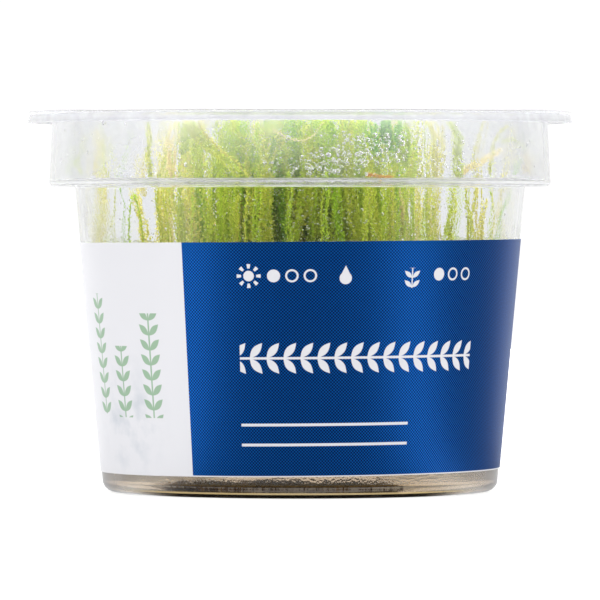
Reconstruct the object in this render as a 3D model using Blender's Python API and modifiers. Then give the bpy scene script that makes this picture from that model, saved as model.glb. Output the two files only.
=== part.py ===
"""A clear tissue culture cup of moss: cup, sealing film, label, nutrient gel and moss.

Metres, +Z up. The origin is the middle of the foot ring, on the surface that the cup stands on.
The front of the label faces -Y. The driving dimensions below are in millimetres.
"""

import math
import random

import bmesh
import bpy

MM = 0.001
MERGE = 0.00001
GAP = 0.3

# Cup: radii and heights of its outside, from the foot up
FOOT_RADIUS = 36.4
FOOT_ROUNDING = 2.2
FOOT_RING_WIDTH = 4.6
FOOT_RING_ROUNDING = 0.15
FOOT_RECESS = 0.35
BODY_TOP_RADIUS = 41.6
LEDGE_UNDERSIDE = 56.3
BAND_BOTTOM_RADIUS = 46.4
BAND_TOP_RADIUS = 45.8
BAND_BOTTOM_ROUNDING = 0.9
FLANGE_RADIUS = 50.0
FLANGE_TOP = 69.6
FLANGE_THICKNESS = 1.0
FLANGE_ROUNDING = 0.4
LIP_RADIUS = 50.4
LIP_BOTTOM = 68.0
LIP_THICKNESS = 0.9
LIP_ROUNDING = 0.2
LIP_INSIDE_ROUNDING = 0.15

# Cup: its walls
BODY_WALL = 1.0
BASE_THICKNESS = 0.75
FLOOR_ROUNDING = 1.6
LEDGE_THICKNESS = 1.1
LEDGE_ROUNDING = 0.4
BAND_INNER_RADIUS = 43.9
INSIDE_ROUNDING = 0.5

# Sealing film
FILM_RADIUS = 49.7
FILM_THICKNESS = 0.3

# Label: a conical sleeve, stuck on slightly askew, with its ends a little apart at the back
LABEL_BOTTOM = 4.0
LABEL_TOP = 46.3
LABEL_THICKNESS = 0.2
LABEL_BACK_GAP_DEG = 24.0
LABEL_TILT_DEG = -0.45

# Gel and moss
GEL_TOP = 9.0
GEL_MENISCUS = 0.8
GEL_MENISCUS_REACH = 3.2
GEL_SURFACE_ROUNDING = 1.5
GEL_EDGE_ROUNDING = 0.1
CUSHION_EDGE_TOP = 38.0
CUSHION_MIDDLE_TOP = 51.0
CUSHION_CROWN_RADIUS = 20.0
CUSHION_CROWN_DROP = 1.5
CUSHION_CROWN_ROUNDING = 30.0
CUSHION_SHOULDER_ROUNDING = 4.0
CUSHION_BOTTOM_ROUNDING = 1.5
MOSS_CLEARANCE = 1.0
LOCKS = 64
LOCK_ROOT_DEPTH = 5.0
LOCK_RADIUS = 2.9
LOCK_RIM_RADIUS = 2.2
LOCK_TIP_SHARE = 0.32
LOCK_RING = 34.4
LOCK_LOW_TIP = 58.5
LOCK_MIDDLE_TIP = 64.8
LOCK_RIM_TIP = 66.8
LOCK_SWAY = 1.0
LOCK_RIM_LEAN = 6.0
MIDDLE_RADIUS = 31.5
LOCK_POINTS = 4
LOCK_SEED = 11

# Fineness of the round surfaces
CUP_STEPS = 60
INNER_STEPS = 44
LABEL_STEPS = 56
FINE_ROUNDING = 0.8
COARSE_ARC_PIECES = 3

# Finishes: linear colours
CLEAR_PLASTIC_COLOUR = (0.93, 0.93, 0.94)
CLEAR_FILM_COLOUR = (0.94, 0.94, 0.95)
PRINT_BLUE = (0.010, 0.085, 0.250)
GEL_AMBER = (0.420, 0.300, 0.150)
MOSS_GREEN = (0.230, 0.290, 0.060)
PLASTIC_IOR = 1.49
GEL_IOR = 1.34


def clear_scene():
    """Start from an empty scene."""
    for thing in list(bpy.data.objects):
        bpy.data.objects.remove(thing, do_unlink=True)


def new_collection(name):
    """A collection in the scene."""
    collection = bpy.data.collections.new(name)
    bpy.context.scene.collection.children.link(collection)
    return collection


def principled(name, colour, roughness, transmission=0.0, ior=PLASTIC_IOR):
    """A plain Principled material."""
    material = bpy.data.materials.new(name)
    material.use_nodes = True
    shader = material.node_tree.nodes["Principled BSDF"]
    shader.inputs["Base Color"].default_value = (*colour, 1.0)
    shader.inputs["Roughness"].default_value = roughness
    shader.inputs["Metallic"].default_value = 0.0
    shader.inputs["Transmission Weight"].default_value = transmission
    shader.inputs["IOR"].default_value = ior
    material.diffuse_color = (*colour, 1.0)
    return material


def body_radius(height):
    """Outside radius of the tapered body at a height."""
    share = height / LEDGE_UNDERSIDE
    return FOOT_RADIUS + (BODY_TOP_RADIUS - FOOT_RADIUS) * share


def inner_radius(height):
    """Inside radius of the tapered body at a height."""
    return body_radius(height) - BODY_WALL


def rounded_profile(corners):
    """Profile points from corners (radius, height, rounding): each rounded corner becomes an arc.

    The arc touches both sides at rounding * tan(half the turn) from the corner.
    """
    points = []
    for i, (x, z, rounding) in enumerate(corners):
        if rounding == 0 or i in (0, len(corners) - 1):
            points.append((x, z))
            continue
        before, after = corners[i - 1], corners[i + 1]
        way_in = math.atan2(z - before[1], x - before[0])
        way_out = math.atan2(after[1] - z, after[0] - x)
        turn = math.remainder(way_out - way_in, 2 * math.pi)
        reach = rounding * math.tan(abs(turn) / 2)
        side = math.copysign(1.0, turn)
        start = (x - reach * math.cos(way_in), z - reach * math.sin(way_in))
        centre = (
            start[0] - side * rounding * math.sin(way_in),
            start[1] + side * rounding * math.cos(way_in),
        )
        pieces = 1 if rounding < FINE_ROUNDING else COARSE_ARC_PIECES
        for k in range(pieces + 1):
            angle = way_in - side * math.pi / 2 + turn * k / pieces
            points.append(
                (centre[0] + rounding * math.cos(angle), centre[1] + rounding * math.sin(angle))
            )
    return points


def turned(name, profile, steps, angle_deg=360.0, start_deg=0.0):
    """A surface turned about Z from profile points (radius, height) in millimetres."""
    start = math.radians(start_deg)
    verts = [(r * MM * math.cos(start), r * MM * math.sin(start), z * MM) for r, z in profile]
    edges = [(i, i + 1) for i in range(len(verts) - 1)]
    mesh = bpy.data.meshes.new(name)
    mesh.from_pydata(verts, edges, [])
    thing = bpy.data.objects.new(name, mesh)
    screw = thing.modifiers.new("Turn", "SCREW")
    screw.axis = "Z"
    screw.angle = math.radians(angle_deg)
    screw.steps = screw.render_steps = steps
    screw.use_merge_vertices = True
    screw.merge_threshold = MERGE
    screw.use_smooth_shade = True
    return thing


def dress(thing, material, collection):
    """Give an object its material and put it in the part's collection."""
    thing.data.materials.append(material)
    collection.objects.link(thing)
    return thing


def make_cup():
    """One moulded cup: inner floor, walls and ledge, flange with its lip, outside, and foot ring."""
    ledge_top = LEDGE_UNDERSIDE + LEDGE_THICKNESS
    flange_underside = FLANGE_TOP - FLANGE_THICKNESS
    floor_top = FOOT_RECESS + BASE_THICKNESS
    ring_inner = FOOT_RADIUS - FOOT_ROUNDING - FOOT_RING_WIDTH
    corners = [
        (0.0, floor_top, 0.0),
        (inner_radius(floor_top), floor_top, FLOOR_ROUNDING),
        (inner_radius(ledge_top), ledge_top, INSIDE_ROUNDING),
        (BAND_INNER_RADIUS, ledge_top, INSIDE_ROUNDING),
        (BAND_INNER_RADIUS, FLANGE_TOP, INSIDE_ROUNDING),
        (FLANGE_RADIUS, FLANGE_TOP, FLANGE_ROUNDING),
        (LIP_RADIUS, LIP_BOTTOM, LIP_ROUNDING),
        (LIP_RADIUS - LIP_THICKNESS, LIP_BOTTOM, LIP_ROUNDING),
        (FLANGE_RADIUS - LIP_THICKNESS, flange_underside, LIP_INSIDE_ROUNDING),
        (BAND_TOP_RADIUS, flange_underside, FLANGE_ROUNDING),
        (BAND_BOTTOM_RADIUS, LEDGE_UNDERSIDE, BAND_BOTTOM_ROUNDING),
        (BODY_TOP_RADIUS, LEDGE_UNDERSIDE, LEDGE_ROUNDING),
        (FOOT_RADIUS, 0.0, FOOT_ROUNDING),
        (ring_inner, 0.0, FOOT_RING_ROUNDING),
        (ring_inner - FOOT_RECESS, FOOT_RECESS, FOOT_RING_ROUNDING),
        (0.0, FOOT_RECESS, 0.0),
    ]
    return turned("cup", rounded_profile(corners), CUP_STEPS)


def make_sealing_film():
    """The thin disc sealed over the flange, with a rounded edge."""
    low = FLANGE_TOP + GAP
    bpy.ops.mesh.primitive_cylinder_add(
        vertices=CUP_STEPS,
        radius=FILM_RADIUS * MM,
        depth=FILM_THICKNESS * MM,
        location=(0.0, 0.0, (low + FILM_THICKNESS / 2) * MM),
    )
    film = bpy.context.object
    film.name = film.data.name = "sealing_film"
    for owner in list(film.users_collection):
        owner.objects.unlink(film)
    edge = film.modifiers.new("Edge", "BEVEL")
    edge.width = FILM_THICKNESS * MM / 3
    edge.segments = 1
    edge.limit_method = "ANGLE"
    return film


def make_label():
    """The printed label: a strip of the cone that the body follows, turned part of the way round."""
    middle = (LABEL_BOTTOM + LABEL_TOP) / 2
    profile = [
        (body_radius(LABEL_TOP) + GAP, LABEL_TOP - middle),
        (body_radius(LABEL_BOTTOM) + GAP, LABEL_BOTTOM - middle),
    ]
    label = turned(
        "label",
        profile,
        LABEL_STEPS,
        angle_deg=360.0 - LABEL_BACK_GAP_DEG,
        start_deg=90.0 + LABEL_BACK_GAP_DEG / 2,
    )
    label.location.z = middle * MM
    label.rotation_euler.y = math.radians(LABEL_TILT_DEG)
    paper = label.modifiers.new("Paper", "SOLIDIFY")
    paper.thickness = LABEL_THICKNESS * MM
    paper.offset = 1.0
    return label


def make_nutrient_gel():
    """The set gel: level on top, climbing a little at the wall, and rounded where the cup's floor is."""
    floor_top = FOOT_RECESS + BASE_THICKNESS + GAP
    wall_top = GEL_TOP + GEL_MENISCUS
    corners = [
        (0.0, GEL_TOP, 0.0),
        (inner_radius(GEL_TOP) - GEL_MENISCUS_REACH, GEL_TOP, GEL_SURFACE_ROUNDING),
        (inner_radius(wall_top) - GAP, wall_top, GEL_EDGE_ROUNDING),
        (inner_radius(floor_top) - GAP, floor_top, FLOOR_ROUNDING),
        (0.0, floor_top, 0.0),
    ]
    return turned("nutrient_gel", rounded_profile(corners), INNER_STEPS)


def make_cushion():
    """The grown-together lower part of the moss: a plug of the cup's taper with a domed top."""
    bottom = GEL_TOP + GEL_MENISCUS + GAP
    edge = inner_radius(CUSHION_EDGE_TOP) - MOSS_CLEARANCE
    corners = [
        (0.0, CUSHION_MIDDLE_TOP, 0.0),
        (CUSHION_CROWN_RADIUS, CUSHION_MIDDLE_TOP - CUSHION_CROWN_DROP, CUSHION_CROWN_ROUNDING),
        (edge, CUSHION_EDGE_TOP, CUSHION_SHOULDER_ROUNDING),
        (inner_radius(bottom) - MOSS_CLEARANCE, bottom, CUSHION_BOTTOM_ROUNDING),
        (0.0, bottom, 0.0),
    ]
    return turned("moss", rounded_profile(corners), INNER_STEPS)


def lock_line(place, chance):
    """Points of one lock, from its root in the cushion to its tip.

    The roots lie in a sunflower spiral, so their spacing is even. Near the wall the locks lean
    outwards over the ledge and reach higher than in the middle.
    """
    share = (place + 0.5) / LOCKS
    ring = LOCK_RING * math.sqrt(share)
    around = place * math.pi * (3 - math.sqrt(5))
    rim = ring > MIDDLE_RADIUS
    highest = LOCK_RIM_TIP if rim else LOCK_MIDDLE_TIP
    thickness = LOCK_RIM_RADIUS if rim else LOCK_RADIUS
    tip = chance.uniform(LOCK_LOW_TIP, highest)
    lean = LOCK_RIM_LEAN if rim else LOCK_SWAY * chance.uniform(-0.5, 0.5)
    sway = LOCK_SWAY * chance.uniform(-1.0, 1.0)
    root = CUSHION_EDGE_TOP - LOCK_ROOT_DEPTH
    points = []
    for k in range(LOCK_POINTS):
        along = k / (LOCK_POINTS - 1)
        out = ring + lean * along**3
        side = sway * math.sin(math.pi * along)
        x = out * math.cos(around) - side * math.sin(around)
        y = out * math.sin(around) + side * math.cos(around)
        radius = thickness * (1 - (1 - LOCK_TIP_SHARE) * along**1.5)
        points.append((x * MM, y * MM, (root + (tip - root) * along) * MM, radius))
    return points


def make_locks():
    """All the locks as one mesh: tapering tubes with closed ends, clear of each other."""
    chance = random.Random(LOCK_SEED)
    curve = bpy.data.curves.new("locks", "CURVE")
    curve.dimensions = "3D"
    curve.bevel_depth = MM
    curve.bevel_resolution = 1
    curve.use_fill_caps = True
    for place in range(LOCKS):
        line = lock_line(place, chance)
        spline = curve.splines.new("POLY")
        spline.points.add(len(line) - 1)
        for point, (x, y, z, radius) in zip(spline.points, line):
            point.co = (x, y, z, 1.0)
            point.radius = radius
    tubes = bpy.data.objects.new("locks", curve)
    bpy.context.scene.collection.objects.link(tubes)
    bpy.context.view_layer.update()
    evaluated = tubes.evaluated_get(bpy.context.evaluated_depsgraph_get())
    mesh = bpy.data.meshes.new_from_object(evaluated)
    locks = bpy.data.objects.new("lock_tubes", mesh)
    locks.matrix_world = tubes.matrix_world
    bpy.data.objects.remove(tubes)
    built = bmesh.new()
    built.from_mesh(mesh)
    bmesh.ops.remove_doubles(built, verts=built.verts, dist=MERGE)
    built.to_mesh(mesh)
    built.free()
    return locks


def make_moss(cutters):
    """The moss as one solid: the cushion with every lock joined to it."""
    moss = make_cushion()
    locks = make_locks()
    cutters.objects.link(locks)
    locks.hide_render = True
    locks.display_type = "WIRE"
    join = moss.modifiers.new("Locks", "BOOLEAN")
    join.operation = "UNION"
    join.solver = "EXACT"
    join.object = locks
    return moss


def main():
    clear_scene()
    part = new_collection("moss_culture_cup")
    cutters = new_collection("cutters")
    clear_plastic = principled("clear_polypropylene", CLEAR_PLASTIC_COLOUR, 0.12, 0.9)
    clear_film = principled("clear_film", CLEAR_FILM_COLOUR, 0.10, 0.9)
    print_blue = principled("printed_label", PRINT_BLUE, 0.45)
    gel = principled("nutrient_gel", GEL_AMBER, 0.15, 0.3, GEL_IOR)
    moss_green = principled("moss", MOSS_GREEN, 0.70)
    dress(make_cup(), clear_plastic, part)
    dress(make_sealing_film(), clear_film, part)
    dress(make_label(), print_blue, part)
    dress(make_nutrient_gel(), gel, part)
    dress(make_moss(cutters), moss_green, part)


main()
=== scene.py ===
"""The looks of a clear culture cup of moss: moulded cup, sealed film, printed label, gel and moss.

The frame is in metres. Sizes below are in millimetres unless a comment says otherwise.
The front of the label faces -Y.
"""

import math

import bpy
import numpy as np
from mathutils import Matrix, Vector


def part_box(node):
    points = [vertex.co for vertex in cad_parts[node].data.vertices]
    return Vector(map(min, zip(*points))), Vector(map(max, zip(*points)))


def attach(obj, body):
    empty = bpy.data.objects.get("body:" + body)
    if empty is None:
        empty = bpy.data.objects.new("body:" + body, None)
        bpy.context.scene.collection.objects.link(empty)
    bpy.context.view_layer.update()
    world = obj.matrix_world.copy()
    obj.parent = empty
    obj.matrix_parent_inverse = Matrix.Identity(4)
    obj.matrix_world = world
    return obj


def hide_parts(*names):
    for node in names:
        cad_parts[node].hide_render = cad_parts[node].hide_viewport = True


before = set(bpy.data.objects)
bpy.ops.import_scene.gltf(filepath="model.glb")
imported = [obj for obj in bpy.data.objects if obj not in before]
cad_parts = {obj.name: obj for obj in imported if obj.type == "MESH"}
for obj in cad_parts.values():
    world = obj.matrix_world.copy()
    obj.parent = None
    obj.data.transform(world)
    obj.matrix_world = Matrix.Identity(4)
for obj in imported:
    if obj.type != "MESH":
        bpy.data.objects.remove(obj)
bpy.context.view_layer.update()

MM = 0.001
GOLDEN_TURN = math.pi * (3 - math.sqrt(5))
SHARP_FROM = math.radians(50)

# Cup: the same section as the solid, from the foot up
FOOT_RADIUS = 36.4
FOOT_ROUNDING = 2.2
FOOT_RING_WIDTH = 4.6
FOOT_RECESS = 0.35
BODY_TOP_RADIUS = 41.6
LEDGE_UNDERSIDE = 56.3
BAND_BOTTOM_RADIUS = 46.4
BAND_TOP_RADIUS = 45.8
FLANGE_RADIUS = 50.0
FLANGE_THICKNESS = 1.0
LIP_BOTTOM = 68.0
LIP_THICKNESS = 0.9
BODY_WALL = 1.0
BASE_THICKNESS = 0.75
LEDGE_THICKNESS = 1.1
BAND_INNER_RADIUS = 43.9
LIP_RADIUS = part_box("cup")[1].x / MM
FLANGE_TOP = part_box("cup")[1].z / MM
LEDGE_TOP = LEDGE_UNDERSIDE + LEDGE_THICKNESS
FLOOR_ROUNDING = 1.6
INSIDE_ROUNDING = 0.5
OUTSIDE_ROUNDING = 0.4
BAND_BOTTOM_ROUNDING = 0.9
LIP_ROUNDING = 0.2
FINE_ROUNDING = 0.15
FLOOR_TOP = FOOT_RECESS + BASE_THICKNESS
CUP_STEPS = 240
ARC_STEP = math.radians(15)

# Sealing film
FILM_EDGE = LIP_RADIUS - 0.1
FILM_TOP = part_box("sealing_film")[1].z / MM
FILM_THICKNESS = 0.1
FILM_RINGS = 60
FILM_SLACK = 0.22
FILM_SAG = 0.12
FILM_RIPPLE = 0.05

# Label
LABEL_BOTTOM = 4.0
LABEL_TOP = 46.3
LABEL_OFFSET = 0.08
LABEL_THICKNESS = 0.12
LABEL_BACK_GAP_DEG = 24.0
LABEL_TILT = math.radians(0.45)
LABEL_MEAN_RADIUS = 39.0
LABEL_STEPS = 336
LABEL_ROWS = 12
BLUE_FROM_DEG = -31.5
BLUE_BOTTOM = 4.2
SCREEN_PITCH = 0.29
INK_EDGE = 0.05
CARE_LEVEL = 40.2
CARE_DOTS_FROM = (-4.6, 26.2)
CARE_DOT_STEP = 3.2
RULE_FROM = -11.0
RULE_TO = 21.0
RULE_WIDTH = 0.5
# Pale sprigs on the white field: middle and length up the label, and place along it
PALE_SPRIGS = [(24.0, 19.0, -30.0), (21.0, 13.0, -38.5), (26.0, 22.0, -46.5)]
PALE_LEAF = 3.2

# Gel and moss
GEL_TOP = 9.0
GEL_MENISCUS = 0.8
GEL_OVERLAP = 0.05
CUSHION_EDGE_TOP = 38.0
CUSHION_MIDDLE_TOP = 46.0
CUSHION_CROWN_RADIUS = 20.0
CUSHION_CROWN_DROP = 1.5
MOSS_CLEARANCE = 0.6
CUSHION_SIDE_ROOM = 2.4
CUSHION_STEP = 0.8
CUSHION_BOTTOM = GEL_TOP + GEL_MENISCUS + 0.3
GROOVES = 26

# Camera and floor, in metres
CAMERA_DISTANCE = 1.222
CAMERA_HEIGHT = 0.052
CAMERA_AIM_HEIGHT = 0.0353
FLOOR_SIZE = 40.0

WHITE = (1.0, 1.0, 1.0, 1.0)
PLASTIC_TINT = "#f4f5f7"
PLASTIC_IOR = 1.49
WATER_IOR = 1.333
GEL_IOR = 1.34
FILM_IOR = 1.5


def linear(code):
    """A linear colour with alpha 1 from an sRGB hex code such as "#c8d060"."""
    parts = [int(code[i : i + 2], 16) / 255 for i in (1, 3, 5)]
    return [p / 12.92 if p <= 0.04045 else ((p + 0.055) / 1.055) ** 2.4 for p in parts] + [1.0]


def body_radius(height):
    """Outside radius of the tapered body at a height."""
    return FOOT_RADIUS + (BODY_TOP_RADIUS - FOOT_RADIUS) * height / LEDGE_UNDERSIDE


def inner_radius(height):
    """Inside radius of the tapered body at a height."""
    return body_radius(height) - BODY_WALL


def rounded_profile(corners):
    """Points (radius, height) from corners (radius, height, rounding), each rounding an arc.

    An arc leaves its corner's two sides at rounding * tan(half the turn) and steps round evenly.
    """
    points = [corners[0][:2]]
    for before, (x, z, rounding), after in zip(corners, corners[1:], corners[2:]):
        way_in = math.atan2(z - before[1], x - before[0])
        way_out = math.atan2(after[1] - z, after[0] - x)
        turn = math.remainder(way_out - way_in, 2 * math.pi)
        reach = rounding * math.tan(abs(turn) / 2)
        side = math.copysign(1.0, turn)
        start = np.array([x - reach * math.cos(way_in), z - reach * math.sin(way_in)])
        centre = start + side * rounding * np.array([-math.sin(way_in), math.cos(way_in)])
        angles = way_in - side * math.pi / 2 + np.linspace(0, turn, max(2, round(abs(turn) / ARC_STEP)))
        points += [centre + rounding * np.array([math.cos(a), math.sin(a)]) for a in angles]
    points.append(corners[-1][:2])
    return np.array(points, float)


def even_profile(profile, step):
    """The same profile with points a step apart along it."""
    length = np.concatenate([[0], np.cumsum(np.linalg.norm(np.diff(profile, axis=0), axis=1))])
    even = np.linspace(0, length[-1], int(length[-1] / step) + 1)
    return np.stack([np.interp(even, length, profile[:, k]) for k in range(2)], axis=1)


def grid_faces(rows, columns, round_rows=False, round_columns=False):
    """Corner numbers of the quads of a grid of rows * columns points, closed round where asked.

    A quad goes (i, j), (i + 1, j), (i + 1, j + 1), (i, j + 1).
    """
    i, j = np.meshgrid(
        np.arange(rows if round_rows else rows - 1),
        np.arange(columns if round_columns else columns - 1),
        indexing="ij",
    )
    after_i, after_j = (i + 1) % rows, (j + 1) % columns
    quads = np.stack(
        [i * columns + j, after_i * columns + j, after_i * columns + after_j, i * columns + after_j], axis=-1
    )
    return quads.reshape(-1, 4)


def turned(profile, steps):
    """Points and faces of a closed surface turned about Z.

    The profile starts and ends on the axis and runs down its outer side. Point (i, j) is
    (r_i cos a_j, r_i sin a_j, z_i) with a_j = 2 pi j / steps, and both end points are single poles.
    """
    turn = 2 * np.pi * np.arange(steps) / steps
    radius, height = profile[1:-1, 0, None], profile[1:-1, 1, None]
    rings = np.stack([radius * np.cos(turn), radius * np.sin(turn), height + 0 * turn], axis=-1)
    points = np.concatenate([rings.reshape(-1, 3), [[0, 0, profile[0, 1]], [0, 0, profile[-1, 1]]]])
    first, last = len(points) - 2, len(points) - 1
    here, after = np.arange(steps), (np.arange(steps) + 1) % steps
    end_ring = (len(profile) - 3) * steps
    top = np.stack([np.full(steps, first), here, after], axis=-1)
    bottom = np.stack([end_ring + here, np.full(steps, last), end_ring + after], axis=-1)
    return points, [grid_faces(len(profile) - 2, steps, round_columns=True), top, bottom]


def make_piece(name, points, faces, materials, smooth=True):
    """A mesh object of points (n, 3) in millimetres and a list of arrays of faces, riding on the cup.

    The object sits at the origin, and its place is in its mesh.
    """
    mesh = bpy.data.meshes.new(name)
    corners = np.concatenate([f.ravel() for f in faces]).astype(np.int32)
    sizes = np.concatenate([np.full(len(f), f.shape[1]) for f in faces])
    mesh.vertices.add(len(points))
    mesh.vertices.foreach_set("co", (points * MM).astype(np.float32).ravel())
    mesh.loops.add(len(corners))
    mesh.loops.foreach_set("vertex_index", corners)
    mesh.polygons.add(len(sizes))
    mesh.polygons.foreach_set("loop_start", (np.cumsum(sizes) - sizes).astype(np.int32))
    mesh.polygons.foreach_set("use_smooth", np.full(len(sizes), smooth))
    mesh.update(calc_edges=True)
    for material in materials:
        mesh.materials.append(material)
    piece = bpy.data.objects.new(name, mesh)
    bpy.context.scene.collection.objects.link(piece)
    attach(piece, "root")
    return piece


def add(tree, kind, inputs=None, **settings):
    """Add a shader node of a kind, with its settings.

    inputs gives sockets, by name or number, a value, an output, or a node for its first output.
    """
    made = tree.nodes.new("ShaderNode" + kind)
    for name, value in settings.items():
        setattr(made, name, value)
    for name, value in (inputs or {}).items():
        if isinstance(value, bpy.types.Node):
            value = value.outputs[0]
        if isinstance(value, bpy.types.NodeSocket):
            tree.links.new(value, made.inputs[name])
        else:
            made.inputs[name].default_value = value
    return made


def new_material(name):
    """An empty node material and the tree that its shaders go into."""
    material = bpy.data.materials.new(name)
    material.use_nodes = True
    material.node_tree.nodes.clear()
    return material, material.node_tree


def let_light_in(tree, surface, tint):
    """Shadow and diffuse rays pass straight through a clear surface, so what it holds is lit."""
    way = add(tree, "LightPath")
    clear = add(tree, "BsdfTransparent", {"Color": tint})
    diffuse = add(tree, "MixShader", {0: way.outputs["Is Diffuse Ray"], 1: surface, 2: clear})
    return add(tree, "MixShader", {0: way.outputs["Is Shadow Ray"], 1: diffuse, 2: clear})


def clear_plastic(tree, pattern, strength, depth, tint, roughness, ior=PLASTIC_IOR):
    """See-through plastic of a tint, its face bumped by a pattern to a depth in mm, at a strength."""
    bump = add(tree, "Bump", {"Height": pattern, "Strength": strength, "Distance": depth * MM})
    finish = {"Base Color": linear(tint), "Roughness": roughness, "IOR": ior}
    return add(tree, "BsdfPrincipled", {**finish, "Transmission Weight": 1.0, "Normal": bump})


def clear_body(tree, roughness, ior):
    """Colourless see-through matter with a plain face, such as water, that lets the light in."""
    finish = {"Base Color": WHITE, "Roughness": roughness, "IOR": ior, "Transmission Weight": 1.0}
    return let_light_in(tree, add(tree, "BsdfPrincipled", finish), WHITE)


def fill_ramp(ramp, stops):
    """Put stops, each a place from 0 to 1 and a colour, on a colour ramp."""
    for _ in stops[2:]:
        ramp.elements.new(0.5)
    for element, (place, colour) in zip(ramp.elements, stops):
        element.position, element.color = place, colour


def haze_over(tree, plastic, share):
    """The material's surface: a share of white haze or mist over clear plastic.

    Half of the haze scatters light on through it, and half scatters it back.
    """
    through = add(tree, "BsdfTranslucent", {"Color": linear("#b8b8bc")})
    back = add(tree, "BsdfDiffuse", {"Color": linear("#e4e4e8")})
    haze = add(tree, "MixShader", {0: 0.5, 1: through, 2: back})
    surface = add(tree, "MixShader", {0: share, 1: plastic, 2: haze})
    add(tree, "OutputMaterial", {"Surface": let_light_in(tree, surface, linear("#fafafb"))})


def along_the_wall(tree):
    """How far the eye looks along the wall, from 0 straight on to 1 at the outline."""
    return add(tree, "LayerWeight", {"Blend": 0.5}).outputs["Facing"]


# Painted shade and light in the foot: a dark line of painted shade under a gold line of painted light,
# in place of what the gel's lower edge does to the light, painted by height: height, colour and how
# dense it is
FOOT_PAINTED_SHADE_AND_LIGHT = [
    (0.0, "#0c0804", 0.9),
    (0.66, "#0c0804", 0.9),
    (0.78, "#e2c890", 0.6),
    (0.94, "#e2c890", 0.6),
    (1.12, "#e2c890", 0.0),
]
FOOT_PAINTED_SHADE_AND_LIGHT_TOP = FOOT_PAINTED_SHADE_AND_LIGHT[-1][0]
# Half widths between which the painted lines fade out
FOOT_PAINTED_SHADE_AND_LIGHT_FADE = (22.0, 33.0)


def clear_wall():
    """Injection-moulded clear polypropylene, faintly milky, with a slight ripple from the mould.

    The haze is 0.85 * facing to a power that climbs from 2.2 in the foot to 4. A dark line of painted
    shade and a gold line of painted light go over the plastic of the foot in place of it, and fade out
    towards the sides.
    """
    material, tree = new_material("clear_polypropylene")
    place = add(tree, "TexCoord").outputs["Object"]
    ripple = add(tree, "TexNoise", {"Vector": place, "Scale": 1 / (7 * MM), "Detail": 1.0})
    plastic = clear_plastic(tree, ripple.outputs["Fac"], 0.12, 0.3, PLASTIC_TINT, 0.01)
    x, _, z = add(tree, "SeparateXYZ", {0: place}).outputs
    power = add(tree, "MapRange", {"Value": z, 1: 4 * MM, 2: 9 * MM, 3: 2.2, 4: 4.0})
    steep = add(tree, "Math", {0: along_the_wall(tree), 1: power}, operation="POWER")
    share = add(tree, "Math", {0: steep, 1: 0.85}, operation="MULTIPLY")
    height = add(tree, "MapRange", {"Value": z, 1: 0.0, 2: FOOT_PAINTED_SHADE_AND_LIGHT_TOP * MM})
    line = add(tree, "ValToRGB", {0: height})
    stops = [(level / FOOT_PAINTED_SHADE_AND_LIGHT_TOP, (*linear(code)[:3], dense)) for level, code, dense in FOOT_PAINTED_SHADE_AND_LIGHT]
    fill_ramp(line.color_ramp, stops)
    side = add(tree, "Math", {0: x}, operation="ABSOLUTE")
    near, far = FOOT_PAINTED_SHADE_AND_LIGHT_FADE
    front = add(tree, "MapRange", {"Value": side, 1: near * MM, 2: far * MM, 3: 1.0, 4: 0.0})
    amount = add(tree, "Math", {0: line.outputs["Alpha"], 1: front}, operation="MULTIPLY")
    # A dark line of painted shade and a gold line of painted light, as a diffuse paint over the plastic
    paint = add(tree, "BsdfDiffuse", {"Color": line})
    shade_and_light_painted = add(tree, "MixShader", {0: amount, 1: plastic, 2: paint})
    hazy = add(tree, "Math", {0: share, 1: amount}, operation="SUBTRACT", use_clamp=True)
    haze_over(tree, shade_and_light_painted, hazy)
    return material


def misted_wall():
    """The cup's inside: fine beads of condensed water all over, and white mist on the wide band.

    The beads are a bump of 0.4 mm cells, deeper in drifts 12 mm across. The mist is cloudy,
    thickens towards the film, and hides more where the eye looks along the wall.
    """
    material, tree = new_material("misted_polypropylene")
    place = add(tree, "TexCoord").outputs["Object"]
    height = add(tree, "SeparateXYZ", {0: place}).outputs["Z"]
    cells = add(tree, "TexVoronoi", {"Vector": place, "Scale": 1 / (0.42 * MM)})
    drifts = add(tree, "TexNoise", {"Vector": place, "Scale": 1 / (12 * MM), "Detail": 2.0})
    depth = add(tree, "MapRange", {"Value": drifts.outputs["Fac"], 1: 0.4, 2: 0.62, 3: 0.15, 4: 1.0})
    beads = add(tree, "Math", {0: cells.outputs["Distance"], 1: depth}, operation="MULTIPLY")
    plastic = clear_plastic(tree, beads, 0.3, 0.05, PLASTIC_TINT, 0.02)
    on_band = add(tree, "MapRange", {"Value": height, 1: 56.8 * MM, 2: 57.6 * MM, 3: 0.0, 4: 1.0})
    climb = add(tree, "MapRange", {"Value": height, 1: 58 * MM, 2: 68 * MM, 3: 0.08, 4: 0.34})
    clouds = add(tree, "TexNoise", {"Vector": place, "Scale": 1 / (9 * MM), "Detail": 3.0})
    cloudy = add(tree, "MapRange", {"Value": clouds.outputs["Fac"], 1: 0.3, 2: 0.7, 3: 0.6, 4: 1.4})
    steep = along_the_wall(tree)
    mist = add(tree, "Math", {0: climb, 1: steep}, operation="ADD")
    mist = add(tree, "Math", {0: mist, 1: cloudy}, operation="MULTIPLY")
    low = add(tree, "Math", {0: steep, 1: 4.0}, operation="POWER")
    low = add(tree, "Math", {0: low, 1: 0.3}, operation="MULTIPLY")
    share = add(tree, "Mix", {0: on_band, 2: low, 3: mist}, data_type="FLOAT")
    haze_over(tree, plastic, share)
    return material


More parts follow.
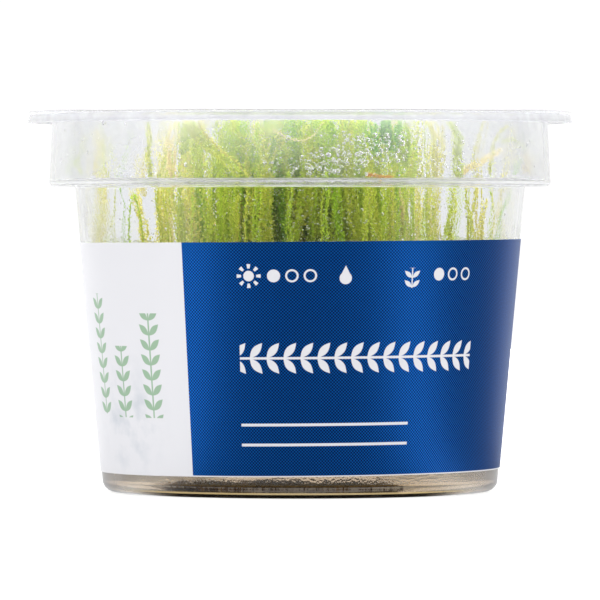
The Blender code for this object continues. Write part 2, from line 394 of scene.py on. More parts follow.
def milky_rim(name, tint, share, steep):
    """The same plastic where it is thick or seen edge-on: milky, so its inside doesn't show clearly.

    A share is haze, up and down by 0.08 in clouds. An upright face has up to steep more of it where
    the eye looks along it.
    """
    material, tree = new_material(name)
    place = add(tree, "TexCoord").outputs["Object"]
    clouds = {"Vector": place, "Scale": 1 / (4 * MM), "Detail": 3.0, "Distortion": 0.8}
    ripple = add(tree, "TexNoise", clouds).outputs["Fac"]
    plastic = clear_plastic(tree, ripple, 0.5, 0.4, tint, 0.08)
    cloudy = add(tree, "MapRange", {"Value": ripple, 1: 0.3, 2: 0.7, 3: share - 0.08, 4: share + 0.08})
    level = add(tree, "SeparateXYZ", {0: add(tree, "NewGeometry").outputs["Normal"]}).outputs["Z"]
    level = add(tree, "Math", {0: level}, operation="ABSOLUTE")
    upright = add(tree, "MapRange", {"Value": level, 1: 0.2, 2: 0.6, 3: steep, 4: 0.0})
    haze = add(tree, "Math", {0: along_the_wall(tree), 1: upright, 2: cloudy}, operation="MULTIPLY_ADD")
    haze_over(tree, plastic, haze)
    return material


def condensed_water():
    """Drops of clean water: clear and fully smooth."""
    material, tree = new_material("condensed_water")
    add(tree, "OutputMaterial", {"Surface": clear_body(tree, 0.0, WATER_IOR)})
    return material


def sealing_foil():
    """Thin peelable polyester film, welded on with a hot ring: clear, with soft shallow creases.

    Past 44.5 mm from the axis the weld is up to 0.3 milky.
    """
    material, tree = new_material("clear_sealing_film")
    place = add(tree, "TexCoord").outputs["Object"]
    folds = {"Vector": place, "Scale": 1 / (12 * MM), "Detail": 2.0, "Distortion": 1.5}
    creases = add(tree, "TexNoise", folds)
    film = clear_plastic(tree, creases.outputs["Fac"], 0.2, 1.0, "#fafafc", 0.06, FILM_IOR)
    away = add(tree, "VectorMath", {0: place, 1: (1.0, 1.0, 0.0)}, operation="MULTIPLY")
    away = add(tree, "VectorMath", {0: away}, operation="LENGTH").outputs["Value"]
    weld = add(tree, "MapRange", {"Value": away, 1: 44.5 * MM, 2: 45.5 * MM, 3: 0.0, 4: 0.3})
    haze_over(tree, film, weld)
    return material


def set_gel():
    """Agar nutrient gel, poured hot and set: see-through amber that darkens with depth."""
    material, tree = new_material("agar_gel")
    clear = clear_body(tree, 0.06, GEL_IOR)
    depth = add(tree, "VolumeAbsorption", {"Color": linear("#dcb868"), "Density": 18.0})
    add(tree, "OutputMaterial", {"Surface": clear, "Volume": depth})
    return material


def plain_paper():
    """The label's white polypropylene paper, matte."""
    material, tree = new_material("label_paper")
    sheet = add(tree, "BsdfPrincipled", {"Base Color": linear("#f4f4f6"), "Roughness": 0.5})
    add(tree, "OutputMaterial", {"Surface": sheet})
    return material


def inked(tree, distance, reach):
    """1 where a distance in millimetres is under a reach, 0 past it, soft over the ink's edge."""
    edge = {"Value": distance, 1: reach - INK_EDGE, 2: reach + INK_EDGE, 3: 1.0, 4: 0.0}
    return add(tree, "MapRange", edge)


def how_far(tree, value, level):
    """How far a value is from a level, on either side."""
    off = add(tree, "Math", {0: value, 1: level}, operation="SUBTRACT")
    return add(tree, "Math", {0: off}, operation="ABSOLUTE")


def together(tree, marks):
    """Several marks as one: at each point the ink of the strongest."""
    ink = marks[0]
    for mark in marks[1:]:
        ink = add(tree, "Math", {0: ink, 1: mark}, operation="MAXIMUM")
    return ink


def dot_mark(tree, place, u, v, radius, line=None):
    """A filled dot, or with a line width a ring, at u, v."""
    away = add(tree, "VectorMath", {0: place, 1: (u, v, 0.0)}, operation="DISTANCE").outputs["Value"]
    if line is None:
        return inked(tree, away, radius)
    return inked(tree, how_far(tree, away, radius), line / 2)


def sun_mark(tree, place, u, v):
    """A disc with eight rays: the rays are where cos(8 angle) is over 0.3, on a ring round it."""
    near = add(tree, "VectorMath", {0: place, 1: (u, v, 0.0)}, operation="SUBTRACT")
    x, y, _ = add(tree, "SeparateXYZ", {0: near}).outputs
    angle = add(tree, "Math", {0: y, 1: x}, operation="ARCTAN2")
    turn = add(tree, "Math", {0: angle, 1: 8.0}, operation="MULTIPLY")
    wave = add(tree, "Math", {0: turn}, operation="COSINE")
    ray = add(tree, "Math", {0: wave, 1: 0.3}, operation="GREATER_THAN")
    band = dot_mark(tree, place, u, v, 1.75, 0.8)
    rays = add(tree, "Math", {0: ray, 1: band}, operation="MULTIPLY")
    return together(tree, [rays, dot_mark(tree, place, u, v, 0.95)])


def drop_mark(tree, place, u, v):
    """A drop: a disc, and above it a cone where |x| + y / 2 is small."""
    near = add(tree, "VectorMath", {0: place, 1: (u, v, 0.0)}, operation="SUBTRACT")
    x, y, _ = add(tree, "SeparateXYZ", {0: near}).outputs
    wide = add(tree, "Math", {0: x}, operation="ABSOLUTE")
    slope = add(tree, "Math", {0: y, 1: 0.5, 2: wide}, operation="MULTIPLY_ADD")
    above = add(tree, "Math", {0: y, 1: 0.4}, operation="GREATER_THAN")
    cone = add(tree, "Math", {0: inked(tree, slope, 1.15), 1: above}, operation="MULTIPLY")
    return together(tree, [cone, dot_mark(tree, place, u, v, 1.1)])


def sprig_mark(tree, along, across, middle, length, level, leaf):
    """A straight stem with pairs of leaves, of a length round its middle.

    With a the distance from the stem and t the place in one period, a leaf's axis leans 50
    degrees from the stem. A point s along the axis and w off it is inked where
    |w| < 0.2 leaf sin(pi s / leaf).
    """
    off = how_far(tree, across, level)
    far = add(tree, "Math", {0: along, 1: middle}, operation="SUBTRACT")
    t = add(tree, "Math", {0: far, 1: 0.85 * leaf, 2: 0.0}, operation="WRAP")
    axis = {"Vector": add(tree, "CombineXYZ", {0: t, 1: off}), "Angle": math.radians(-50)}
    leant = add(tree, "VectorRotate", axis, rotation_type="Z_AXIS")
    s, w, _ = add(tree, "SeparateXYZ", {0: leant}).outputs
    phase = add(tree, "Math", {0: s, 1: math.pi / leaf}, operation="MULTIPLY")
    bulge = add(tree, "Math", {0: phase}, operation="SINE")
    off_axis = add(tree, "Math", {0: w}, operation="ABSOLUTE")
    blade = add(tree, "Math", {0: bulge, 1: -0.2 * leaf, 2: off_axis}, operation="MULTIPLY_ADD")
    both = together(tree, [inked(tree, blade, 0.0), inked(tree, off, 0.06 * leaf)])
    within = inked(tree, add(tree, "Math", {0: far}, operation="ABSOLUTE"), length / 2)
    return add(tree, "Math", {0: both, 1: within}, operation="MULTIPLY")


def rule_mark(tree, u, v, level):
    """A plain rule at a level, between RULE_FROM and RULE_TO."""
    inside = inked(tree, how_far(tree, u, (RULE_FROM + RULE_TO) / 2), (RULE_TO - RULE_FROM) / 2)
    line = inked(tree, how_far(tree, v, level), RULE_WIDTH / 2)
    return add(tree, "Math", {0: line, 1: inside}, operation="MULTIPLY")


def printed_paper():
    """Offset-printed label stock: a dark blue field of fine screen dots beside a white field.

    The marks are plain ones: care pictograms, a row of leaves, two rules, and pale sprigs over a
    soft grey wash on the white field. The blue ink has a metallic sheen. A screen's dots are about
    0.2 mm apart and are drawn twice as coarse, to show: a dot is where sin(pi u / pitch) times
    sin(pi v / pitch) is high. Places are in millimetres from the middle of the front and the foot.
    """
    material, tree = new_material("printed_label")
    place = add(tree, "UVMap", uv_map="label")
    u, v, _ = add(tree, "SeparateXYZ", {0: place}).outputs
    dots = add(tree, "VectorMath", {0: place, "Scale": math.pi / SCREEN_PITCH}, operation="SCALE")
    waves = add(tree, "VectorMath", {0: dots}, operation="SINE")
    a, b, _ = add(tree, "SeparateXYZ", {0: waves}).outputs
    dot = add(tree, "Math", {0: a, 1: b}, operation="MULTIPLY")
    share = add(tree, "MapRange", {"Value": dot, 1: -0.5, 2: 0.5})
    blue = add(tree, "Mix", {0: share, 6: linear("#000a30"), 7: linear("#0c68c8")}, data_type="RGBA")
    edge = math.radians(BLUE_FROM_DEG) * LABEL_MEAN_RADIUS
    in_blue = inked(tree, add(tree, "Math", {0: edge, 1: u}, operation="SUBTRACT"), 0.0)
    above_edge = inked(tree, add(tree, "Math", {0: BLUE_BOTTOM, 1: v}, operation="SUBTRACT"), 0.0)
    in_blue = add(tree, "Math", {0: in_blue, 1: above_edge}, operation="MULTIPLY")

    marks = [
        sun_mark(tree, place, -9.0, CARE_LEVEL),
        drop_mark(tree, place, 8.0, 39.7),
        sprig_mark(tree, v, u, 39.6, 3.6, 20.5, 2.0),
        sprig_mark(tree, u, v, 12.3, 46.5, 25.4, 3.6),
        rule_mark(tree, u, v, 13.4),
        rule_mark(tree, u, v, 9.8),
    ]
    for start in CARE_DOTS_FROM:
        marks.append(dot_mark(tree, place, start, CARE_LEVEL, 1.15))
        for step in (1, 2):
            marks.append(dot_mark(tree, place, start + step * CARE_DOT_STEP, CARE_LEVEL, 1.0, 0.35))
    ink = together(tree, marks)
    field = add(tree, "Mix", {0: ink, 6: blue.outputs[2], 7: linear("#d0d0d4")}, data_type="RGBA")

    leafy = together(tree, [sprig_mark(tree, v, u, *sprig, PALE_LEAF) for sprig in PALE_SPRIGS])
    wash = add(tree, "TexNoise", {"Vector": place, "Scale": 0.25, "Detail": 3.0})
    grey = add(tree, "MapRange", {"Value": wash.outputs["Fac"], 1: 0.45, 2: 0.75, 3: 0.0, 4: 0.5})
    patch = add(tree, "VectorMath", {0: place, 1: (-38.0, 14.0, 0.0)}, operation="DISTANCE")
    fade = add(tree, "MapRange", {"Value": patch.outputs["Value"], 1: 4.0, 2: 13.0, 3: 1.0, 4: 0.0})
    grey = add(tree, "Math", {0: grey, 1: fade}, operation="MULTIPLY")
    paper = add(tree, "Mix", {0: grey, 6: linear("#d3d3d7"), 7: linear("#a2acb6")}, data_type="RGBA")
    thin_ink = add(tree, "Math", {0: leafy, 1: 0.75}, operation="MULTIPLY")
    paper = add(tree, "Mix", {0: thin_ink, 6: paper.outputs[2], 7: linear("#6f9c70")}, data_type="RGBA")
    colour = add(tree, "Mix", {0: in_blue, 6: paper.outputs[2], 7: field.outputs[2]}, data_type="RGBA")
    bare = add(tree, "Math", {0: 1.0, 1: ink}, operation="SUBTRACT")
    glossy = add(tree, "Math", {0: in_blue, 1: bare}, operation="MULTIPLY")
    shine = add(tree, "Math", {0: glossy, 1: 0.79}, operation="MULTIPLY")
    finish = {"Base Color": colour.outputs[2], "Roughness": 0.4, "Specular IOR Level": 0.25}
    sheet = add(tree, "BsdfPrincipled", {**finish, "Metallic": shine})
    add(tree, "OutputMaterial", {"Surface": sheet})
    return material


def living_moss(name, run):
    """Soft moss leaves, one cell thick: dull, and bright where light comes through.

    The strand attribute holds a strand's place in the run of colours, how far up the strand a
    point is, and a random shade for each leaf.
    """
    material, tree = new_material(name)
    strand = add(tree, "Attribute", attribute_name="strand")
    hue, along, shade = add(tree, "SeparateColor", {0: strand.outputs["Color"]}).outputs
    ramp = add(tree, "ValToRGB", {0: hue})
    fill_ramp(ramp.color_ramp, [(place, linear(code)) for place, code in run])
    # Down to 0.9 at the root: painted shade, darker towards the root
    light = add(tree, "MapRange", {"Value": along, 3: 0.9, 4: 1.0})
    speckle = add(tree, "MapRange", {"Value": shade, 3: 0.82, 4: 1.13})
    both = add(tree, "Math", {0: light, 1: speckle}, operation="MULTIPLY")
    colour = add(tree, "VectorMath", {0: ramp, "Scale": both}, operation="SCALE")
    leaf = add(
        tree,
        "BsdfPrincipled",
        {"Base Color": colour, "Roughness": 0.55, "Specular IOR Level": 0.1},
    )
    glow = add(tree, "BsdfTranslucent", {"Color": colour})
    both_sides = add(tree, "MixShader", {0: 0.5, 1: leaf, 2: glow})
    add(tree, "OutputMaterial", {"Surface": both_sides})
    return material


def make_cup():
    """The cup's section turned about Z, from the middle of its inner floor to that of its foot.

    Its faces have one of four finishes by where they are: outside, misted inside, rim and ledge.
    """
    flange_underside = FLANGE_TOP - FLANGE_THICKNESS
    ring_inner = FOOT_RADIUS - FOOT_ROUNDING - FOOT_RING_WIDTH
    corners = [
        (0.0, FLOOR_TOP, 0.0),
        (inner_radius(FLOOR_TOP), FLOOR_TOP, FLOOR_ROUNDING),
        (inner_radius(LEDGE_TOP), LEDGE_TOP, INSIDE_ROUNDING),
        (BAND_INNER_RADIUS, LEDGE_TOP, INSIDE_ROUNDING),
        (BAND_INNER_RADIUS, FLANGE_TOP, INSIDE_ROUNDING),
        (FLANGE_RADIUS, FLANGE_TOP, OUTSIDE_ROUNDING),
        (LIP_RADIUS, LIP_BOTTOM, LIP_ROUNDING),
        (LIP_RADIUS - LIP_THICKNESS, LIP_BOTTOM, LIP_ROUNDING),
        (FLANGE_RADIUS - LIP_THICKNESS, flange_underside, FINE_ROUNDING),
        (BAND_TOP_RADIUS, flange_underside, OUTSIDE_ROUNDING),
        (BAND_BOTTOM_RADIUS, LEDGE_UNDERSIDE, BAND_BOTTOM_ROUNDING),
        (BODY_TOP_RADIUS, LEDGE_UNDERSIDE, OUTSIDE_ROUNDING),
        (FOOT_RADIUS, 0.0, FOOT_ROUNDING),
        (ring_inner, 0.0, FINE_ROUNDING),
        (ring_inner - FOOT_RECESS, FOOT_RECESS, FINE_ROUNDING),
        (0.0, FOOT_RECESS, 0.0),
    ]
    profile = rounded_profile(corners)
    points, faces = turned(profile, CUP_STEPS)
    materials = [
        clear_wall(),
        misted_wall(),
        milky_rim("milky_rim_polypropylene", "#c6c7cc", 0.46, 0.15),
        milky_rim("milky_ledge_polypropylene", "#e8e9ec", 0.12, 2.6),
    ]
    cup = make_piece("cup_wall", points, faces, materials)
    radius, height = ((profile[1:-2] + profile[2:-1]) / 2).T
    inside = (radius < BAND_INNER_RADIUS + 0.3) & (height > FLOOR_TOP + 2) & (radius > FOOT_RADIUS - 2)
    inside &= (radius < inner_radius(height) + 0.3) | (height > LEDGE_TOP)
    flat = (radius > BODY_TOP_RADIUS) & (np.abs(height - LEDGE_UNDERSIDE - LEDGE_THICKNESS / 2) < 0.9)
    rim = (radius > BAND_INNER_RADIUS + 0.3) & (height > LIP_BOTTOM - 0.3)
    kind = np.select([rim, flat, inside], [2, 3, 1], 0)
    slots = np.zeros(len(cup.data.polygons), np.int32)
    slots[: len(kind) * CUP_STEPS] = np.repeat(kind, CUP_STEPS)
    cup.data.polygons.foreach_set("material_index", slots)
    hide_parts("cup")


def make_film():
    """A thin round film turned about Z, with a wavy rim.

    Both sides rise by (sag cos(2 angle) + ripple sin(9 angle)) * (radius / edge) to the sixth power.
    """
    radius = FILM_EDGE * np.linspace(1, 0, FILM_RINGS)[::-1]
    upper = np.stack([radius, np.full(FILM_RINGS, FILM_TOP - FILM_SLACK)], axis=1)
    profile = np.concatenate([upper, upper[::-1] - [0.0, FILM_THICKNESS]])
    points, faces = turned(profile, CUP_STEPS)
    angle = np.arctan2(points[:, 1], points[:, 0])
    rim = (np.linalg.norm(points[:, :2], axis=1) / FILM_EDGE) ** 6
    points[:, 2] += rim * (FILM_SAG * np.cos(2 * angle) + FILM_RIPPLE * np.sin(9 * angle))
    film = make_piece("film_sheet", points, faces, [sealing_foil()])
    film.data.set_sharp_from_angle(angle=SHARP_FROM)
    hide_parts("sealing_film")


def make_label():
    """A strip of the body's cone, stuck on askew: z = v + tilt * x, and r = the body's radius there.

    Its UV map is in millimetres: along the strip from the middle of the front, and up it.
    """
    half = math.pi - math.radians(LABEL_BACK_GAP_DEG / 2)
    turn = np.linspace(-half, half, LABEL_STEPS + 1)
    height = np.linspace(LABEL_TOP, LABEL_BOTTOM, LABEL_ROWS)[:, None]
    sheets = []
    for out in (LABEL_OFFSET + LABEL_THICKNESS, LABEL_OFFSET):
        z = height + math.tan(LABEL_TILT) * body_radius(height) * np.sin(turn)
        r = body_radius(z) + out
        sheets.append(np.stack([r * np.sin(turn), -r * np.cos(turn), z], axis=-1))
    outer, inner = sheets
    rows, columns = outer.shape[:2]
    points = np.concatenate([outer.reshape(-1, 3), inner.reshape(-1, 3)])
    front = grid_faces(rows, columns)
    back = front[:, ::-1] + rows * columns
    number = np.arange(rows * columns).reshape(rows, columns)
    loop = np.concatenate([number[0], number[1:, -1], number[-1, -2::-1], number[-2:0:-1, 0]])
    after = np.roll(loop, -1)
    edges = np.stack([loop, after, after + rows * columns, loop + rows * columns], axis=-1)
    faces = [front, back, edges]
    label = make_piece("label_sheet", points, faces, [printed_paper(), plain_paper()])
    slots = np.ones(len(label.data.polygons), np.int32)
    slots[: len(front)] = 0
    label.data.polygons.foreach_set("material_index", slots)
    along, up = np.broadcast_arrays(turn * LABEL_MEAN_RADIUS, height)
    flat = np.stack([along, up], axis=-1).reshape(-1, 2)
    flat = np.concatenate([flat, flat])
    corners = np.concatenate([f.ravel() for f in faces])
    uv = label.data.uv_layers.new(name="label")
    uv.data.foreach_set("uv", flat[corners].astype(np.float32).ravel())
    label.data.set_sharp_from_angle(angle=SHARP_FROM)
    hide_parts("label")


def make_gel():
    """The gel's section turned about Z: level, climbing at the wall, round where the floor is."""
    low = FLOOR_TOP - GEL_OVERLAP
    wall_top = GEL_TOP + GEL_MENISCUS
    corners = [
        (0.0, GEL_TOP, 0.0),
        (inner_radius(GEL_TOP) - 4 * GEL_MENISCUS, GEL_TOP, 1.5),
        (inner_radius(wall_top) + GEL_OVERLAP, wall_top, 0.1),
        (inner_radius(low) + GEL_OVERLAP, low, FLOOR_ROUNDING),
        (0.0, low, 0.0),
    ]
    points, faces = turned(rounded_profile(corners), CUP_STEPS)
    gel = make_piece("gel_layer", points, faces, [set_gel()])
    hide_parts("nutrient_gel")


def strand_arrays(lines, side, hues, size, chance):
    """Points, faces and colours of leafy strands along lines (strands, stations, 3).

    A stem is a three-sided tube on every eighth station, closed at both ends. At each station a
    leaf stands on the stem, a golden turn further round than the last: a kite of two triangles
    with its base on the stem, leaning out from the strand's direction by the opening angle. size
    scales each strand's leaves, and side is a direction for each strand that its line never runs
    along.
    """
    strands, stations = lines.shape[:2]
    tangent = np.gradient(lines, axis=1)
    tangent /= np.linalg.norm(tangent, axis=-1, keepdims=True)
    across = np.cross(tangent, side[:, None, :])
    across /= np.linalg.norm(across, axis=-1, keepdims=True)
    third = np.cross(tangent, across)
    along = np.linspace(0, 1, stations)
    stem_radius = STEM_RADIUS * (1 - 0.6 * along)[None, :, None]

    picked = np.arange(0, stations, STEM_STRIDE)
    corner = 2 * np.pi * np.arange(3) / 3
    ring = (
        lines[:, picked, None, :]
        + stem_radius[:, picked, None] * np.cos(corner)[None, None, :, None] * across[:, picked, None, :]
        + stem_radius[:, picked, None] * np.sin(corner)[None, None, :, None] * third[:, picked, None, :]
    )
    tube_points = ring.reshape(-1, 3)
    tube = grid_faces(len(picked), 3, round_columns=True)[:, ::-1]
    starts = (np.arange(strands) * len(picked) * 3)[:, None, None]
    tube_faces = (tube[None] + starts).reshape(-1, 4)
    ends = np.array([[0, 2, 1], [0, 1, 2]]) + np.array([[0], [(len(picked) - 1) * 3]])
    end_faces = (ends[None] + starts).reshape(-1, 3)
    dull = np.full((strands, len(picked), 3), STEM_SHADE)
    parts = np.broadcast_arrays(hues[:, None, None], along[picked][None, :, None], dull)
    tube_colour = np.stack(parts, axis=-1).reshape(-1, 3)

    turn = GOLDEN_TURN * np.arange(stations)[None, :] + chance.uniform(0, 2 * np.pi, (strands, 1))
    turn = (turn + chance.uniform(-0.4, 0.4, (strands, stations)))[..., None]
    out = np.cos(turn) * across + np.sin(turn) * third
    wide = np.cross(tangent, out)
    lean = LEAF_OPENING * chance.uniform(0.7, 1.3, (strands, stations))[..., None]
    way = np.cos(lean) * tangent + np.sin(lean) * out
    taper = np.clip(np.minimum(1.0, 1.25 - 0.7 * along), 0.3, 1.0)[None, :, None] * size[:, None, None]
    length = LEAF_LENGTH * taper * chance.uniform(0.75, 1.25, (strands, stations))[..., None]
    half = 0.5 * LEAF_WIDTH * taper
    base = lines + stem_radius * 0.8 * out
    middle = base + 0.42 * length * way
    tip = base + length * way + 0.12 * length * out
    leaf_points = np.stack([base, middle + half * wide, tip, middle - half * wide], axis=2).reshape(-1, 3)
    first = len(tube_points) + 4 * np.arange(strands * stations)[:, None]
    leaf_faces = np.concatenate([first + [0, 1, 2], first + [0, 2, 3]])
    shade = chance.uniform(0, 1, (strands, stations))
    parts = np.broadcast_arrays(hues[:, None], along[None, :], shade)
    leaf_colour = np.repeat(np.stack(parts, axis=-1).reshape(-1, 3), 4, axis=0)
    return (
        np.concatenate([tube_points, leaf_points]),
        [tube_faces, end_faces, leaf_faces],
        np.concatenate([tube_colour, leaf_colour]),
    )


def colour_points(piece, colours):
    """Write the strand attribute, one colour for each point."""
    attribute = piece.data.color_attributes.new("strand", "FLOAT_COLOR", "POINT")
    four = np.concatenate([colours, np.ones((len(colours), 1))], axis=1)
    attribute.data.foreach_set("color", four.astype(np.float32).ravel())


def wall_radius(height):
    """The inside wall's radius at each height: the body's, and above the ledge the band's."""
    return np.where(height > LEDGE_TOP, BAND_INNER_RADIUS, inner_radius(height))


def round_axis(radius, turn, height=None):
    """Places at a radius and an angle about the axis: (x, y), or with a height (x, y, z)."""
    flat = [radius * np.cos(turn), radius * np.sin(turn)]
    return np.stack(flat if height is None else [*flat, height], axis=1)


def keep_inside(lines):
    """Lines drawn in towards the axis where they would cross the wall, and down from the film."""
    radius = np.linalg.norm(lines[..., :2], axis=-1)
    limit = wall_radius(lines[..., 2]) - WALL_ROOM
    lines[..., :2] *= np.minimum(1.0, limit / np.maximum(radius, 1e-6))[..., None]
    lines[..., 2] = np.minimum(lines[..., 2], STRAND_TOP)
    return lines


def standing_lines(root, tip, sway, wiggle, stations, chance):
    """Lines from root to tip (n, 3), bowed by sway * sin(pi t) and with a wiggle of a few periods."""
    t = np.linspace(0, 1, stations)[None, :, None]
    count = len(root)
    phase = chance.uniform(0, 2 * np.pi, (count, 1, 3))
    periods = chance.uniform(1.5, 3.5, (count, 1, 3))
    wave = np.sin(2 * np.pi * periods * t + phase) - np.sin(phase)
    wave[..., 2] = 0
    amount = wiggle * chance.uniform(0.3, 1.0, (count, 1, 1))
    return root[:, None] + (tip - root)[:, None] * t + sway[:, None] * np.sin(np.pi * t) + amount * wave


def bundle_strands(centres, top, hues, each, spread, height, chance, lean=0.0):
    """Roots, tips, sways and hues of bundles: each bundle has strands close round its centre."""
    count = len(centres)
    offset = chance.normal(0, spread, (count, each, 2))
    root = np.empty((count, each, 3))
    root[..., :2] = centres[:, None] + offset
    distance = np.linalg.norm(centres, axis=1)
    root[..., 2] = height[:, None]
    outward = centres / np.maximum(distance, 1e-6)[:, None]
    tip = np.empty_like(root)
    tip_shift = chance.normal(0, 1.8, (count, 1, 2)) + outward[:, None] * lean
    tip[..., :2] = root[..., :2] + tip_shift + chance.normal(0, 0.45, (count, each, 2)) - 0.4 * offset
    tip[..., 2] = top[:, None] - np.abs(chance.normal(0, 1.0, (count, each)))
    sway = np.zeros_like(root)
    sway[..., :2] = chance.normal(0, 0.9, (count, 1, 2)) + chance.normal(0, 0.3, (count, each, 2))
    hue = np.clip(hues[:, None] + chance.normal(0, 0.04, (count, each)), 0, 1)
    return root.reshape(-1, 3), tip.reshape(-1, 3), sway.reshape(-1, 3), hue.ravel()


def path_line(points, stations):
    """A smooth line of stations through points: even steps of length, then a moving average."""
    points = np.array(points, float)
    length = np.concatenate([[0], np.cumsum(np.linalg.norm(np.diff(points, axis=0), axis=1))])
    even = np.linspace(0, length[-1], stations)
    line = np.stack([np.interp(even, length, points[:, k]) for k in range(3)], axis=1)
    reach = stations // 10
    before = 2 * line[0] - line[reach:0:-1]
    after = 2 * line[-1] - line[-2 : -reach - 2 : -1]
    padded = np.concatenate([before, line, after])
    window = np.hanning(2 * reach + 3)[1:-1]
    window /= window.sum()
    return np.stack([np.convolve(padded[:, k], window, "valid") for k in range(3)], axis=1)


def moss_piece(name, lines, hues, size, material, chance):
    """One piece of moss strands, with its colours."""
    side = np.zeros((len(lines), 3))
    angle = chance.uniform(0, 2 * np.pi, len(lines))
    side[:, 0], side[:, 1] = np.cos(angle), np.sin(angle)
    points, faces, colours = strand_arrays(keep_inside(lines), side, hues, size, chance)
    piece = make_piece(name, points, faces, [material], smooth=False)
    colour_points(piece, colours)
    return piece


def cushion_height(distance):
    """Height of the cushion's top at a distance from the axis: two straight slopes down to its edge."""
    places = [0.0, CUSHION_CROWN_RADIUS, inner_radius(CUSHION_EDGE_TOP) - MOSS_CLEARANCE]
    crown = CUSHION_MIDDLE_TOP - CUSHION_CROWN_DROP
    return np.interp(distance, places, [CUSHION_MIDDLE_TOP, crown, CUSHION_EDGE_TOP])


# Runs of colour along which each strand has its place
GREEN_RUN = [
    (0.0, "#9cd880"),
    (0.2, "#b2dc54"),
    (0.4, "#cce64a"),
    (0.6, "#ece86e"),
    (0.8, "#fcf2ba"),
    (1.0, "#ecc464"),
]
PACKED_RUN = [(0.0, "#66782e"), (0.5, "#a6b244"), (1.0, "#dcd67c")]
BROWN_RUN = [(0.0, "#3a2810"), (0.5, "#5c4020"), (1.0, "#94703c")]
WALL_ROOM = 1.1
STRAND_TOP = 67.6
LEAF_LENGTH = 0.95
LEAF_WIDTH = 0.42
LEAF_OPENING = 0.75
STEM_RADIUS = 0.11
STEM_STRIDE = 8
STEM_SHADE = 0.35
STATIONS = 97
LOW_STATIONS = 33
STRAND_ROOT_DEPTH = 1.0
FIELD_BUNDLES = 235
FIELD_RADIUS = 27.0
FIELD_SPREAD = 13.5
FIELD_EACH = 5
FIELD_PARTS = 3
FIELD_TOP = 68.4
EDGE_BUNDLES = 60
EDGE_RING = (28.0, 38.0)
EDGE_EACH = 3
# Either side of the middle, where no edge bundle stands: from and to this distance across
EDGE_GAP = (28.5, 34.5)
LOW_FRONDS = 1300
LOW_FROND_RADIUS = 36.0
LOW_FROND_TOP = 45.4
WALL_STRANDS = 170
# Where the light shows between the tops of the strands: x of the middle and half the width
SLITS = [(-14.8, 1.0), (-2.6, 1.3), (6.0, 0.8), (18.3, 1.0)]
SLIT_TOP = 63.5

